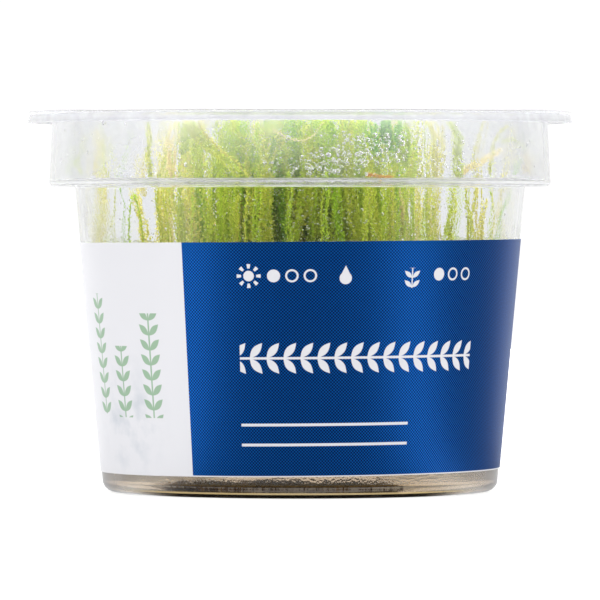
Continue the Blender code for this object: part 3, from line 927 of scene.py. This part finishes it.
# Strands that stand out in front: place in the run of colours, number of strands, how far they
# spread, size of leaf, y, and points (x, z) along the strand
SINGLE_STRANDS = [
    (0.38, 2, 0.08, 0.7, -20, [(-30.8, 44.7), (-30.9, 49.3), (-30.7, 53.0), (-30.2, 55.6),
      (-29.7, 54.8), (-29.1, 52.0), (-28.6, 48.7), (-28.1, 44.7)]),
    (0.7, 9, 0.9, 0.7, -6, [(-37.5, 44.6), (-36.9, 49.2), (-36.5, 52.9), (-36.7, 56.6), (-36.9, 61.2),
      (-37.5, 65.8)]),
    (0.55, 1, 0.2, 0.5, -14, [(-33.4, 44.7), (-34.1, 49.3), (-33.0, 52.9), (-33.7, 55.7),
      (-32.8, 60.2), (-34.5, 64.8)]),
    (0.25, 1, 0.2, 0.5, -12, [(-32.0, 44.7), (-32.7, 49.8), (-32.1, 52.9), (-33.2, 56.0),
      (-32.3, 61.2), (-30.9, 65.8)]),
    (0.72, 2, 0.3, 0.6, -12, [(-28.6, 54.5), (-28.8, 56.0), (-28.3, 60.2), (-27.6, 64.8), (-28.1, 67.6)]),
    (0.52, 7, 0.7, 0.7, -22, [(-24.6, 44.7), (-25.0, 49.3), (-25.9, 53.8), (-25.5, 56.5),
      (-24.1, 61.1), (-23.3, 66.5)]),
    (0.55, 6, 0.7, 0.8, -26, [(-21.1, 44.8), (-21.6, 49.3), (-23.2, 53.8), (-22.5, 57.4),
      (-22.2, 62.9), (-21.6, 67.4)]),
    (0.5, 1, 0.2, 0.5, -10, [(-39.7, 57.9), (-40.5, 60.3), (-39.7, 63.0), (-39.0, 65.8)]),
    (0.65, 1, 0.2, 0.5, -14, [(-37.4, 57.9), (-36.7, 61.2), (-36.1, 63.9), (-37.0, 66.6)]),
    (0.4, 1, 0.2, 0.45, -4, [(-43.2, 57.9), (-42.1, 60.3), (-42.5, 63.1)]),
    (0.5, 1, 0.2, 0.5, -18, [(-34.4, 57.8), (-35.4, 61.1), (-35.1, 64.8), (-35.8, 67.5)]),
    (0.5, 3, 0.5, 0.7, -28, [(-26.1, 57.4), (-26.8, 61.0), (-26.6, 64.7), (-26.8, 67.6)]),
    (0.8, 3, 0.5, 0.8, -30, [(-22.6, 57.4), (-23.0, 61.0), (-23.2, 64.6), (-22.4, 67.5)]),
    (0.5, 6, 0.9, 1.0, -36, [(-18.9, 67.5), (-17.1, 64.6), (-14.8, 62.4), (-12.3, 60.4), (-9.9, 57.8)]),
    (0.5, 3, 0.5, 0.9, -33, [(-18.2, 57.8), (-17.9, 61.0), (-18.8, 64.6), (-19.5, 67.5)]),
    (0.45, 3, 0.4, 0.9, -38, [(-6.9, 57.4), (-7.1, 61.0), (-7.4, 64.6), (-7.6, 67.4)]),
    (0.8, 1, 0.1, 0.6, -39, [(-4.5, 66.3), (-1.8, 64.5), (1.0, 64.2), (2.8, 65.3), (4.4, 67.8)]),
    (0.14, 3, 0.8, 0.8, -36, [(14.0, 61.9), (12.9, 64.6), (12.2, 67.5)]),
    (0.14, 3, 0.8, 0.8, -35, [(16.1, 62.4), (15.1, 64.6), (15.2, 67.5)]),
    (0.6, 6, 0.6, 0.7, -30, [(23.8, 57.8), (23.6, 61.0), (24.0, 64.6), (22.5, 67.9)]),
    (0.5, 6, 0.6, 0.7, -26, [(28.6, 57.8), (28.2, 61.1), (28.6, 64.7), (27.1, 67.9)]),
    (0.82, 3, 0.5, 0.8, -20, [(28.2, 57.8), (30.9, 59.6), (33.6, 61.1), (35.8, 62.9)]),
    (0.5, 2, 0.3, 0.6, -14, [(34.2, 57.9), (34.4, 61.2), (35.1, 64.8), (37.5, 67.0)]),
    (0.5, 1, 0.2, 0.5, -4, [(36.9, 64.0), (39.6, 64.4), (41.8, 62.7), (42.8, 60.3), (42.9, 58.3)]),
    (0.1, 1, 0.1, 0.4, -8, [(39.1, 57.9), (39.7, 59.9), (40.4, 61.2)]),
    (0.85, 3, 0.3, 0.7, -2, [(42.1, 57.9), (42.6, 59.8), (42.3, 61.6)]),
    (0.5, 7, 0.6, 0.7, -24, [(26.4, 44.7), (27.0, 49.3), (27.5, 52.9), (27.4, 56.0)]),
    (0.47, 9, 0.9, 0.8, -26, [(19.4, 44.7), (19.9, 50.0), (19.6, 56.0), (20.4, 61.5), (19.9, 64.5)]),
    (0.5, 6, 0.7, 0.7, -20, [(20.9, 57.0), (20.6, 62.0), (21.0, 67.6)]),
    (0.5, 4, 0.6, 0.8, -35, [(-11.6, 44.7), (-11.2, 48.0), (-11.5, 52.0), (-11.0, 54.5)]),
    (0.52, 8, 0.9, 0.7, -22, [(23.6, 44.7), (22.9, 50.0), (23.4, 56.0), (22.6, 61.5), (22.9, 67.5)]),
    (0.64, 5, 0.9, 0.6, -16, [(25.6, 44.7), (25.0, 50.0), (25.4, 56.0), (26.2, 61.5), (25.9, 67.5)]),
    (0.6, 6, 1.0, 0.6, -10, [(31.6, 44.7), (31.0, 50.0), (31.8, 56.0), (31.2, 61.5), (32.9, 67.5)]),
    (0.6, 6, 0.9, 0.7, -10, [(-24.6, 44.7), (-25.2, 50.0), (-24.4, 56.0), (-25.2, 61.5), (-24.9, 67.5)]),
    (0.52, 5, 0.4, 0.7, -20, [(30.5, 44.7), (30.4, 49.3), (30.2, 52.9), (30.0, 56.4)]),
    (0.66, 4, 0.5, 0.8, -16, [(32.7, 44.7), (32.8, 48.7), (33.2, 52.0), (33.7, 53.8)]),
    (0.5, 2, 0.3, 0.6, -12, [(34.2, 44.7), (34.6, 49.2), (34.8, 52.9), (34.6, 56.4), (34.8, 60.2)]),
    (0.2, 2, 0.4, 0.55, -8, [(35.4, 44.6), (36.2, 49.2), (37.3, 52.9), (38.2, 55.7)]),
    (0.46, 6, 0.7, 0.8, -33, [(-11.0, 44.7), (-11.4, 50.0), (-11.1, 56.0), (-11.6, 60.5), (-11.2, 63.5)]),
    (0.5, 8, 1.1, 0.8, -30, [(-15.6, 44.7), (-15.0, 50.0), (-15.4, 56.0), (-14.7, 61.0)]),
    (0.48, 8, 1.1, 0.8, -32, [(-13.0, 44.7), (-13.5, 50.0), (-12.9, 56.0), (-13.6, 62.0)]),
    (0.47, 7, 0.9, 0.8, -34, [(-8.9, 44.7), (-9.3, 50.0), (-8.7, 55.5), (-9.2, 60.5)]),
    (0.46, 6, 0.9, 0.8, -32, [(12.4, 44.7), (12.0, 50.0), (12.6, 56.0), (12.2, 62.5)]),
    (0.5, 6, 0.9, 0.8, -28, [(16.2, 44.7), (16.6, 50.0), (16.1, 56.0), (16.7, 63.5)]),
    (0.45, 6, 0.9, 0.8, -26, [(-20.3, 62.0), (-20.0, 65.0), (-20.6, 67.6)]),
    (0.12, 8, 1.5, 0.9, -33, [(15.6, 63.5), (14.9, 65.5), (15.2, 67.6)]),
    (0.45, 7, 1.2, 0.8, -31, [(18.6, 60.0), (19.2, 64.0), (18.8, 67.6)]),
    (0.42, 6, 1.2, 0.8, -33, [(9.6, 60.5), (9.9, 64.0), (9.5, 67.6)]),
    (0.44, 4, 0.6, 0.8, -33, [(-2.4, 44.7), (-2.8, 50.0), (-2.3, 55.0), (-2.7, 58.5)]),
    (0.42, 4, 0.6, 0.8, -33, [(5.0, 44.7), (4.6, 50.0), (5.1, 55.0), (4.7, 58.5)]),
    (1.0, 2, 0.15, 0.7, -40.5, [(11.6, 58.4), (13.9, 57.9), (16.6, 57.9)]),
]
ROOTED_BELOW = 46.0
SINGLE_ROOT = 40.0
ROOT_DRAWN_IN = 0.97


def single_strands(chance):
    """Lines, colours and leaf sizes of SINGLE_STRANDS, each copy set off sideways and wiggling.

    A strand that starts below the label's top edge goes on down into the cushion.
    """
    lines, hues, sizes = [], [], []
    for hue, count, spread, size, y, places in SINGLE_STRANDS:
        points = [(x, y, z) for x, z in places]
        if points[0][2] < ROOTED_BELOW:
            points.insert(0, (points[0][0] * ROOT_DRAWN_IN, y * ROOT_DRAWN_IN, SINGLE_ROOT))
        if points[-1][2] < ROOTED_BELOW:
            points.append((points[-1][0] * ROOT_DRAWN_IN, y * ROOT_DRAWN_IN, SINGLE_ROOT))
        line = path_line(points, STATIONS)
        offset = chance.normal(0, spread, (count, 1, 3)) * [1.0, 1.0, 0.3]
        t = np.linspace(0, 1, STATIONS)[None, :, None]
        wave = np.sin(2 * np.pi * 2.5 * t + chance.uniform(0, 6.28, (count, 1, 3))) * [0.15, 0.15, 0.0]
        lines.append(line + offset + wave * (spread > 0.1))
        hues.append(np.clip(hue + chance.normal(0, 0.04, count), 0, 1))
        sizes.append(np.full(count, size))
    return np.concatenate(lines), np.concatenate(hues), np.concatenate(sizes)


def lumpy(points, above):
    """Points moved in and down by lumps, and in by grooves round the side.

    A lump is half of 1 + sin(u) sin(v), with u and v waves of the place, and a groove half of
    1 + sin(26 angle), bent a little with height. Points below a height stay where they are.
    """
    x, y, z = points.T
    waves = np.sin(1.1 * x + 1.3 * np.sin(0.7 * y) + 0.8 * z) * np.sin(1.2 * y + 1.1 * np.sin(0.8 * x))
    lump = 0.5 + 0.5 * waves
    groove = 0.5 + 0.5 * np.sin(GROOVES * np.arctan2(y, x) + 2.0 * np.sin(0.25 * z))
    share = np.clip((z - above) / 3.0, 0, 1)
    drawn_in = 1 - share * (0.6 * groove + 0.5 * lump) / CUSHION_CROWN_RADIUS
    return np.stack([x * drawn_in, y * drawn_in, z - share * 1.1 * lump], axis=1)


def make_cushion():
    """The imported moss: a lumpy plug from the gel up to its crown, its section turned about Z."""
    corners = [
        (0.0, CUSHION_MIDDLE_TOP, 0.0),
        (CUSHION_CROWN_RADIUS, CUSHION_MIDDLE_TOP - CUSHION_CROWN_DROP, 30.0),
        (inner_radius(CUSHION_EDGE_TOP) - CUSHION_SIDE_ROOM, CUSHION_EDGE_TOP, 4.0),
        (inner_radius(CUSHION_BOTTOM) - CUSHION_SIDE_ROOM, CUSHION_BOTTOM, 1.5),
        (0.0, CUSHION_BOTTOM, 0.0),
    ]
    points, faces = turned(even_profile(rounded_profile(corners), CUSHION_STEP), CUP_STEPS)
    points = lumpy(points, CUSHION_BOTTOM + 2.0)
    cushion = make_piece("moss_cushion", points, faces, [living_moss("packed_moss", PACKED_RUN)])
    chance = np.random.default_rng(11)
    # Darker down the sides and lighter towards the crown by height: painted shade, with a random tone on top
    # of it
    upper = np.clip((points[:, 2] - CUSHION_EDGE_TOP) / 6.0, 0, 1)
    tone_and_painted_shade = 0.15 + 0.4 * upper + chance.uniform(0, 0.35, len(points))
    shade = chance.uniform(0, 1, len(points))
    colour_points(cushion, np.stack([tone_and_painted_shade, np.ones(len(points)), shade], axis=1))
    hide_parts("moss")


def field_strands(chance):
    """Bundles over the middle, in a sunflower spiral that is closer near the axis.

    Bundle k of n stands at spread * sqrt(-ln(1 - reach (k + 0.5) / n)), where reach brings the last
    out to FIELD_RADIUS, and each is a golden turn further round than the one before.
    """
    place = np.arange(FIELD_BUNDLES)
    reach = 1 - math.exp(-((FIELD_RADIUS / FIELD_SPREAD) ** 2))
    ring = FIELD_SPREAD * np.sqrt(-np.log(1 - reach * (place + 0.5) / FIELD_BUNDLES))
    centres = round_axis(ring, place * GOLDEN_TURN)
    centres += chance.normal(0, 0.8, centres.shape)
    # Hues climb outwards, so the middle is deeper green and darker: partly the moss's own colour, partly
    # painted shade for the dense middle
    hues = 0.31 + 0.27 * ring / FIELD_RADIUS + chance.normal(0, 0.09, FIELD_BUNDLES)
    hues = np.clip(hues, 0.05, 0.95)
    top = FIELD_TOP - 6.0 * chance.uniform(0, 1, FIELD_BUNDLES) ** 2
    for middle, half in SLITS:
        top = np.where(np.abs(centres[:, 0] - middle) < half, np.minimum(top, SLIT_TOP), top)
    height = cushion_height(ring) - STRAND_ROOT_DEPTH
    root, tip, sway, hue = bundle_strands(centres, top, hues, FIELD_EACH, 0.55, height, chance)
    lines = standing_lines(root, tip, sway, 0.25, STATIONS, chance)
    return lines, hue, chance.uniform(0.85, 1.15, len(lines))


def edge_strands(chance):
    """Thin pale bundles between the field and the wall, at the sides and behind."""
    ring = np.sqrt(chance.uniform(EDGE_RING[0] ** 2, EDGE_RING[1] ** 2, EDGE_BUNDLES))
    turn = chance.uniform(0, 2 * np.pi, EDGE_BUNDLES)
    across = np.abs(ring * np.cos(turn))
    kept = (np.sin(turn) > -0.35) & ((across < EDGE_GAP[0]) | (across > EDGE_GAP[1]))
    ring, turn = ring[kept], turn[kept]
    hues = np.clip(chance.normal(0.66, 0.12, len(ring)), 0.3, 1)
    top = chance.uniform(56.0, 67.0, len(ring))
    height = cushion_height(ring) - STRAND_ROOT_DEPTH
    centres = round_axis(ring, turn)
    root, tip, sway, hue = bundle_strands(centres, top, hues, EDGE_EACH, 0.5, height, chance, lean=1.0)
    return standing_lines(root, tip, sway, 0.3, STATIONS, chance), hue, np.ones(len(hue))


def low_fronds(chance):
    """Short fronds that stand all over the cushion's top and lean any way."""
    ring = LOW_FROND_RADIUS * np.sqrt(chance.uniform(0.05, 1, LOW_FRONDS))
    turn = chance.uniform(0, 2 * np.pi, LOW_FRONDS)
    root = round_axis(ring, turn, cushion_height(ring) - STRAND_ROOT_DEPTH)
    tip = root + chance.normal(0, 1.2, root.shape)
    tip[:, 2] = np.minimum(root[:, 2] + chance.uniform(4.0, 8.0, LOW_FRONDS), LOW_FROND_TOP)
    sway = chance.normal(0, 0.6, root.shape) * [1.0, 1.0, 0.0]
    lines = standing_lines(root, tip, sway, 0.2, LOW_STATIONS, chance)
    return lines, np.clip(chance.normal(0.45, 0.15, LOW_FRONDS), 0, 1), np.ones(LOW_FRONDS)


def wall_strands(chance):
    """Strands close against the wall at the back, where the label's gap shows them."""
    turn = np.pi / 2 + chance.uniform(-0.3, 0.3, WALL_STRANDS)
    low = np.full(WALL_STRANDS, GEL_TOP + GEL_MENISCUS + 1.5)
    high = chance.uniform(30.0, 48.0, WALL_STRANDS)
    root = round_axis(inner_radius(low), turn, low)
    turn = turn + chance.normal(0, 0.03, WALL_STRANDS)
    tip = round_axis(inner_radius(high), turn, high)
    lines = standing_lines(root, tip, np.zeros_like(root), 0.4, STATIONS, chance)
    return lines, np.clip(chance.normal(0.4, 0.15, WALL_STRANDS), 0, 1), np.ones(WALL_STRANDS)


def make_moss():
    """The moss: a lumpy cushion and pieces of upright strands that grow from it."""
    chance = np.random.default_rng(7)
    material = living_moss("moss_leaves", GREEN_RUN)
    make_cushion()
    lines, hue, size = field_strands(chance)
    for n in range(FIELD_PARTS):
        mine = slice(n, None, FIELD_PARTS)
        moss_piece(f"moss_strands_{n + 1}", lines[mine], hue[mine], size[mine], material, chance)
    edge = edge_strands(chance)
    single = single_strands(chance)
    moss_piece("moss_fronds_low", *low_fronds(chance), material, chance)
    wall = wall_strands(chance)
    lines, hue, size = (np.concatenate(parts) for parts in zip(edge, single, wall))
    moss_piece("moss_strands_edge", lines, hue, size, material, chance)


ROOT_STRANDS = 1900
ROOT_RADIUS = 15.5
ROOT_REACH = 18.5
ROOT_MIDDLE = -2.5
ROOT_STATIONS = 17


def make_roots():
    """Old brown stems in the gel: short strands that lie matted on the cup's floor."""
    chance = np.random.default_rng(5)
    ring = ROOT_RADIUS * chance.uniform(0, 1, ROOT_STRANDS) ** 0.55
    turn = chance.uniform(0, 2 * np.pi, ROOT_STRANDS)
    low = FLOOR_TOP + chance.uniform(0.35, 1.0, ROOT_STRANDS) + 1.4 * chance.uniform(0, 1, ROOT_STRANDS) ** 3
    root = round_axis(ring, turn, low) + [ROOT_MIDDLE, 0.0, 0.0]
    tip = root + chance.normal(0, 1.0, root.shape) * [4.0, 2.0, 0.2]
    tip[:, 2] = np.maximum(tip[:, 2], FLOOR_TOP + 0.3)
    off = tip[:, :2] - [ROOT_MIDDLE, 0.0]
    reach = ROOT_REACH * chance.uniform(0.6, 1.0, ROOT_STRANDS)
    off *= np.minimum(1.0, reach / np.linalg.norm(off, axis=1))[:, None]
    tip[:, :2] = off + [ROOT_MIDDLE, 0.0]
    sway = chance.normal(0, 0.8, root.shape) * [1.0, 1.0, 0.0]
    lines = standing_lines(root, tip, sway, 0.4, ROOT_STATIONS, chance)
    hues = chance.uniform(0, 1, ROOT_STRANDS) ** 1.5
    size = chance.uniform(0.3, 0.62, ROOT_STRANDS)
    moss_piece("brown_stems", lines, hues, size, living_moss("brown_moss_stems", BROWN_RUN), chance)


# How far a drop's base is sunk in the wall
DROP_SINK = 0.02
# Drops: number, degrees round from the front and how far they spread, lowest and highest z, and
# smallest and largest radius
DROP_GROUPS = [
    (120, 15, 6, 60.5, 65.5, 0.22, 0.52),
    (100, 4, 5, 58.2, 62.0, 0.16, 0.42),
    (35, 28, 9, 58.2, 66.0, 0.16, 0.40),
    (60, 26, 14, 58.2, 61.5, 0.13, 0.38),
    (80, -12, 20, 46.5, 56.0, 0.10, 0.22),
    (50, 20, 14, 46.5, 52.0, 0.10, 0.22),
    (300, 180, 70, 58.2, 68.0, 0.15, 0.50),
    (200, 180, 75, 44.0, 56.0, 0.12, 0.32),
    (60, 180, 5, 12.0, 44.0, 0.12, 0.35),
]
FINE_DROP_GROUPS = [
    (900, 0, 22, 46.0, 56.4, 0.06, 0.12),
    (1300, 6, 24, 57.8, 66.5, 0.06, 0.14),
    (400, 180, 60, 46.0, 68.0, 0.07, 0.15),
]


def make_drops(name, groups, rings, steps, flatness, water):
    """Drops of condensed water on the inside wall: flat domes that stand in from it.

    A point of a dome is its place on the wall + s cos(t) (cos(p) sideways + sin(p) up)
    + s * flatness * sin(t) inward, for rings t from 0 to just under 90 degrees.
    """
    chance = np.random.default_rng(21)
    front = math.radians(-90)
    places = []
    for count, middle, spread, low, high, small, large in groups:
        turn = front + np.radians(chance.normal(middle, spread, count))
        height = chance.uniform(low, high, count)
        size = small + (large - small) * chance.uniform(0, 1, count) ** 2.5
        places.append(np.stack([turn, height, size], axis=1))
    turn, height, size = np.concatenate(places).T
    zero = np.zeros_like(turn)
    inward = round_axis(-1.0, turn, zero)
    centre = round_axis(wall_radius(height) + DROP_SINK, turn, height)
    sideways = np.stack([-np.sin(turn), np.cos(turn), zero], axis=1)
    t = np.radians(np.linspace(0, 90, rings + 1)[:-1])[None, :, None, None]
    p = (2 * np.pi * np.arange(steps) / steps)[None, None, :, None]
    s = size[:, None, None, None]
    up = np.array([0.0, 0.0, 1.0])
    domes = (
        centre[:, None, None]
        + s * np.cos(t) * (np.cos(p) * sideways[:, None, None] + np.sin(p) * up)
        + s * flatness * np.sin(t) * inward[:, None, None]
    )
    count = len(size)
    crown = centre + size[:, None] * flatness * inward
    points = np.concatenate([domes.reshape(-1, 3), crown, centre])
    per_drop = rings * steps
    start = (per_drop * np.arange(count))[:, None, None]
    sides = (grid_faces(rings, steps, round_columns=True)[None, :, ::-1] + start).reshape(-1, 4)
    here = np.arange(steps)
    after = (here + 1) % steps
    ends = []
    for hubs, ring, one, other in ((0, (rings - 1) * steps, here, after), (1, 0, after, here)):
        hub = ((per_drop + hubs) * count + np.arange(count))[:, None]
        fan = np.broadcast_arrays(hub, start[:, 0] + ring + one, start[:, 0] + ring + other)
        ends.append(np.stack(fan, axis=-1).reshape(-1, 3))
    drops = make_piece(name, points, [sides, *ends], [water])


# What mirror images and the clear plastic show of the studio, by the cosine of the angle from the
# front: white behind the cup, dim at its sides, a soft box each side of the camera, dark behind it
STUDIO = [(-1.0, 1.02), (-0.8, 1.02), (-0.5, 0.3), (0.2, 0.26), (0.545, 1.85), (0.82, 0.28), (1.0, 0.18)]
STUDIO_PEAK = max(glow for _, glow in STUDIO)


def studio_glow(tree, way):
    """The strength of light from a direction.

    Mirror images follow STUDIO, up to 9% weaker on the right and stronger on the left. What is seen
    through clear pieces is white behind the cup and dims towards the camera.
    """
    facing = add(tree, "VectorMath", {0: way, 1: (0.0, -1.0, 0.0)}, operation="DOT_PRODUCT")
    place = add(tree, "MapRange", {"Value": facing.outputs["Value"], 1: -1.0, 2: 1.0})
    ramp = add(tree, "ValToRGB", {0: place})
    ramp.color_ramp.interpolation = "EASE"
    levels = [((cosine + 1) / 2, glow / STUDIO_PEAK) for cosine, glow in STUDIO]
    fill_ramp(ramp.color_ramp, [(place, (level, level, level, 1.0)) for place, level in levels])
    mirrored = add(tree, "Math", {0: ramp, 1: STUDIO_PEAK}, operation="MULTIPLY")
    right = add(tree, "VectorMath", {0: way, 1: (1.0, 0.0, 0.0)}, operation="DOT_PRODUCT").outputs["Value"]
    left_share = add(tree, "Math", {0: right, 1: -0.09, 2: 1.0}, operation="MULTIPLY_ADD")
    mirrored = add(tree, "Math", {0: mirrored, 1: left_share}, operation="MULTIPLY")
    through = add(tree, "MapRange", {"Value": facing.outputs["Value"], 1: -0.1, 2: 0.7, 3: 1.02, 4: 0.2})
    rays = add(tree, "LightPath")
    return add(
        tree,
        "Mix",
        {0: rays.outputs["Is Transmission Ray"], 2: mirrored, 3: through},
        data_type="FLOAT",
    )


# The paper's colour where it is seen through the foot and the gel, painted by radius: a painted shadow
# under the middle and under the foot's edge, and then a painted ring of light, as light that has come
# through the amber gel.
FLOOR_PAINTED_SHADOW_AND_LIGHT = [
    (0.0, "#2a2018"),
    (14.0, "#2a2018"),
    (24.0, "#d8cdb8"),
    (31.5, "#e8e0d0"),
    (33.0, "#0c0804"),
    (37.6, "#0c0804"),
    (38.4, "#ffc860"),
    (41.0, "#ffe0a4"),
    (45.0, "#ffffff"),
]
FLOOR_PAINTED_SHADOW_AND_LIGHT_REACH = FLOOR_PAINTED_SHADOW_AND_LIGHT[-1][0]


def make_floor():
    """A wide pale floor just under the foot ring, bright as a lit paper sweep.

    Mirror images of it dim towards the camera, as the studio does. Through clear pieces it shows a
    painted shadow and a painted ring of light by radius, made paler by painted light from 22 to 34 mm
    out at the sides. From 60 to 90 mm out they fade into the studio's glow.
    """
    bpy.ops.mesh.primitive_plane_add(size=FLOOR_SIZE, location=(0.0, 0.0, -0.1 * MM))
    floor = bpy.context.object
    floor.name = "paper_floor"
    material, tree = new_material("white_paper")
    paper = add(tree, "BsdfDiffuse", {"Color": (0.35, 0.35, 0.35, 1.0)})
    lit = add(tree, "Emission", {"Color": WHITE, "Strength": 0.72})
    both = add(tree, "AddShader", {0: paper, 1: lit})
    place = add(tree, "TexCoord").outputs["Object"]
    way = add(tree, "VectorMath", {0: place}, operation="NORMALIZE")
    rays = add(tree, "LightPath")
    seen = add(tree, "Math", {0: rays.outputs["Is Camera Ray"], 1: rays.outputs["Is Diffuse Ray"]})
    away = add(tree, "VectorMath", {0: place}, operation="LENGTH").outputs["Value"]
    spot = add(tree, "MapRange", {"Value": away, 1: 0.0, 2: FLOOR_PAINTED_SHADOW_AND_LIGHT_REACH * MM})
    ring = add(tree, "ValToRGB", {0: spot})
    fill_ramp(ring.color_ramp, [(radius / FLOOR_PAINTED_SHADOW_AND_LIGHT_REACH, linear(code)) for radius, code in FLOOR_PAINTED_SHADOW_AND_LIGHT])
    side = add(tree, "Math", {0: add(tree, "SeparateXYZ", {0: place}).outputs["X"]}, operation="ABSOLUTE")
    # Painted light: the sides are lightened towards a pale amber from 22 to 34 mm out
    painted_light_sides = add(tree, "MapRange", {"Value": side, 1: 22 * MM, 2: 34 * MM})
    ring = add(
        tree,
        "Mix",
        {0: painted_light_sides, 6: ring, 7: linear("#f4d8a8")},
        data_type="RGBA",
        blend_type="LIGHTEN",
    )
    close = add(tree, "MapRange", {"Value": away, 1: 60 * MM, 2: 90 * MM, 3: 1.0, 4: 0.0})
    through = add(tree, "Math", {0: close, 1: rays.outputs["Is Transmission Ray"]}, operation="MULTIPLY")
    glow = add(tree, "Mix", {0: through, 6: studio_glow(tree, way), 7: ring.outputs[2]}, data_type="RGBA")
    mirrored = add(tree, "Emission", {"Color": glow.outputs[2], "Strength": 1.0})
    sweep = add(tree, "MixShader", {0: seen, 1: mirrored, 2: both})
    add(tree, "OutputMaterial", {"Surface": sweep})
    floor.data.materials.append(material)


def light_scene():
    """Soft white light from all round, weaker from behind the camera, and two soft boxes."""
    world = bpy.data.worlds.new("white_sweep")
    bpy.context.scene.world = world
    world.use_nodes = True
    tree = world.node_tree
    tree.nodes.clear()
    way = add(tree, "TexCoord").outputs["Generated"]
    height = add(tree, "SeparateXYZ", {0: way}).outputs["Z"]
    above = add(tree, "MapRange", {"Value": height, 1: 0.04, 2: 0.2})
    glow = add(tree, "Math", {0: studio_glow(tree, way), 1: above}, operation="MAXIMUM")
    rays = add(tree, "LightPath")
    soft = add(tree, "Mix", {0: rays.outputs["Is Diffuse Ray"], 2: glow, 3: 1.0}, data_type="FLOAT")
    strength = add(tree, "Mix", {0: rays.outputs["Is Camera Ray"], 2: soft, 3: 1.05}, data_type="FLOAT")
    sky = add(tree, "Background", {"Color": WHITE, "Strength": strength})
    add(tree, "OutputWorld", {"Surface": sky})
    # name, place, turn, size in metres and watts
    lamps = [
        ("backlight", (0.0, 1.2, 0.25), (-1.37, 0.0, 0.0), (1.6, 1.0), 48.0),
        ("overhead", (0.0, 0.1, 1.2), (0.0, 0.0, 0.0), (1.2, 1.2), 20.0),
    ]
    for name, place, turn, size, power in lamps:
        lamp = bpy.data.lights.new(name, "AREA")
        lamp.shape = "RECTANGLE"
        lamp.size, lamp.size_y = size
        lamp.energy = power
        thing = bpy.data.objects.new(name, lamp)
        thing.location = place
        thing.rotation_euler = turn
        thing.visible_camera = thing.visible_glossy = thing.visible_transmission = False
        bpy.context.scene.collection.objects.link(thing)


def set_camera():
    """A long lens, a little above the cup's middle and aimed at it."""
    data = bpy.data.cameras.new("camera")
    data.sensor_width = 36.0
    data.lens = 396.0
    data.clip_start, data.clip_end = 0.05, 60.0
    camera = bpy.data.objects.new("camera", data)
    camera.location = (0.0, -CAMERA_DISTANCE, CAMERA_HEIGHT)
    drop = math.atan2(CAMERA_HEIGHT - CAMERA_AIM_HEIGHT, CAMERA_DISTANCE)
    camera.rotation_euler = (math.pi / 2 - drop, 0.0, 0.0)
    bpy.context.scene.collection.objects.link(camera)
    bpy.context.scene.camera = camera
    bpy.context.scene.view_settings.view_transform = "Standard"


def let_light_bounce():
    """Enough bounces for light to cross the walls, drops and film several times."""
    cycles = bpy.context.scene.cycles
    cycles.max_bounces = 24
    cycles.glossy_bounces = 12
    cycles.transmission_bounces = 24
    cycles.transparent_max_bounces = 32
    cycles.diffuse_bounces = 6


def main():
    """The camera, the light and the floor, and then the cup with all that it holds."""
    set_camera()
    let_light_bounce()
    light_scene()
    make_floor()
    make_cup()
    make_film()
    make_label()
    make_gel()
    make_moss()
    make_roots()
    water = condensed_water()
    make_drops("condensed_drops", DROP_GROUPS, 5, 10, 0.5, water)
    make_drops("fine_drops", FINE_DROP_GROUPS, 2, 6, 0.3, water)


main()
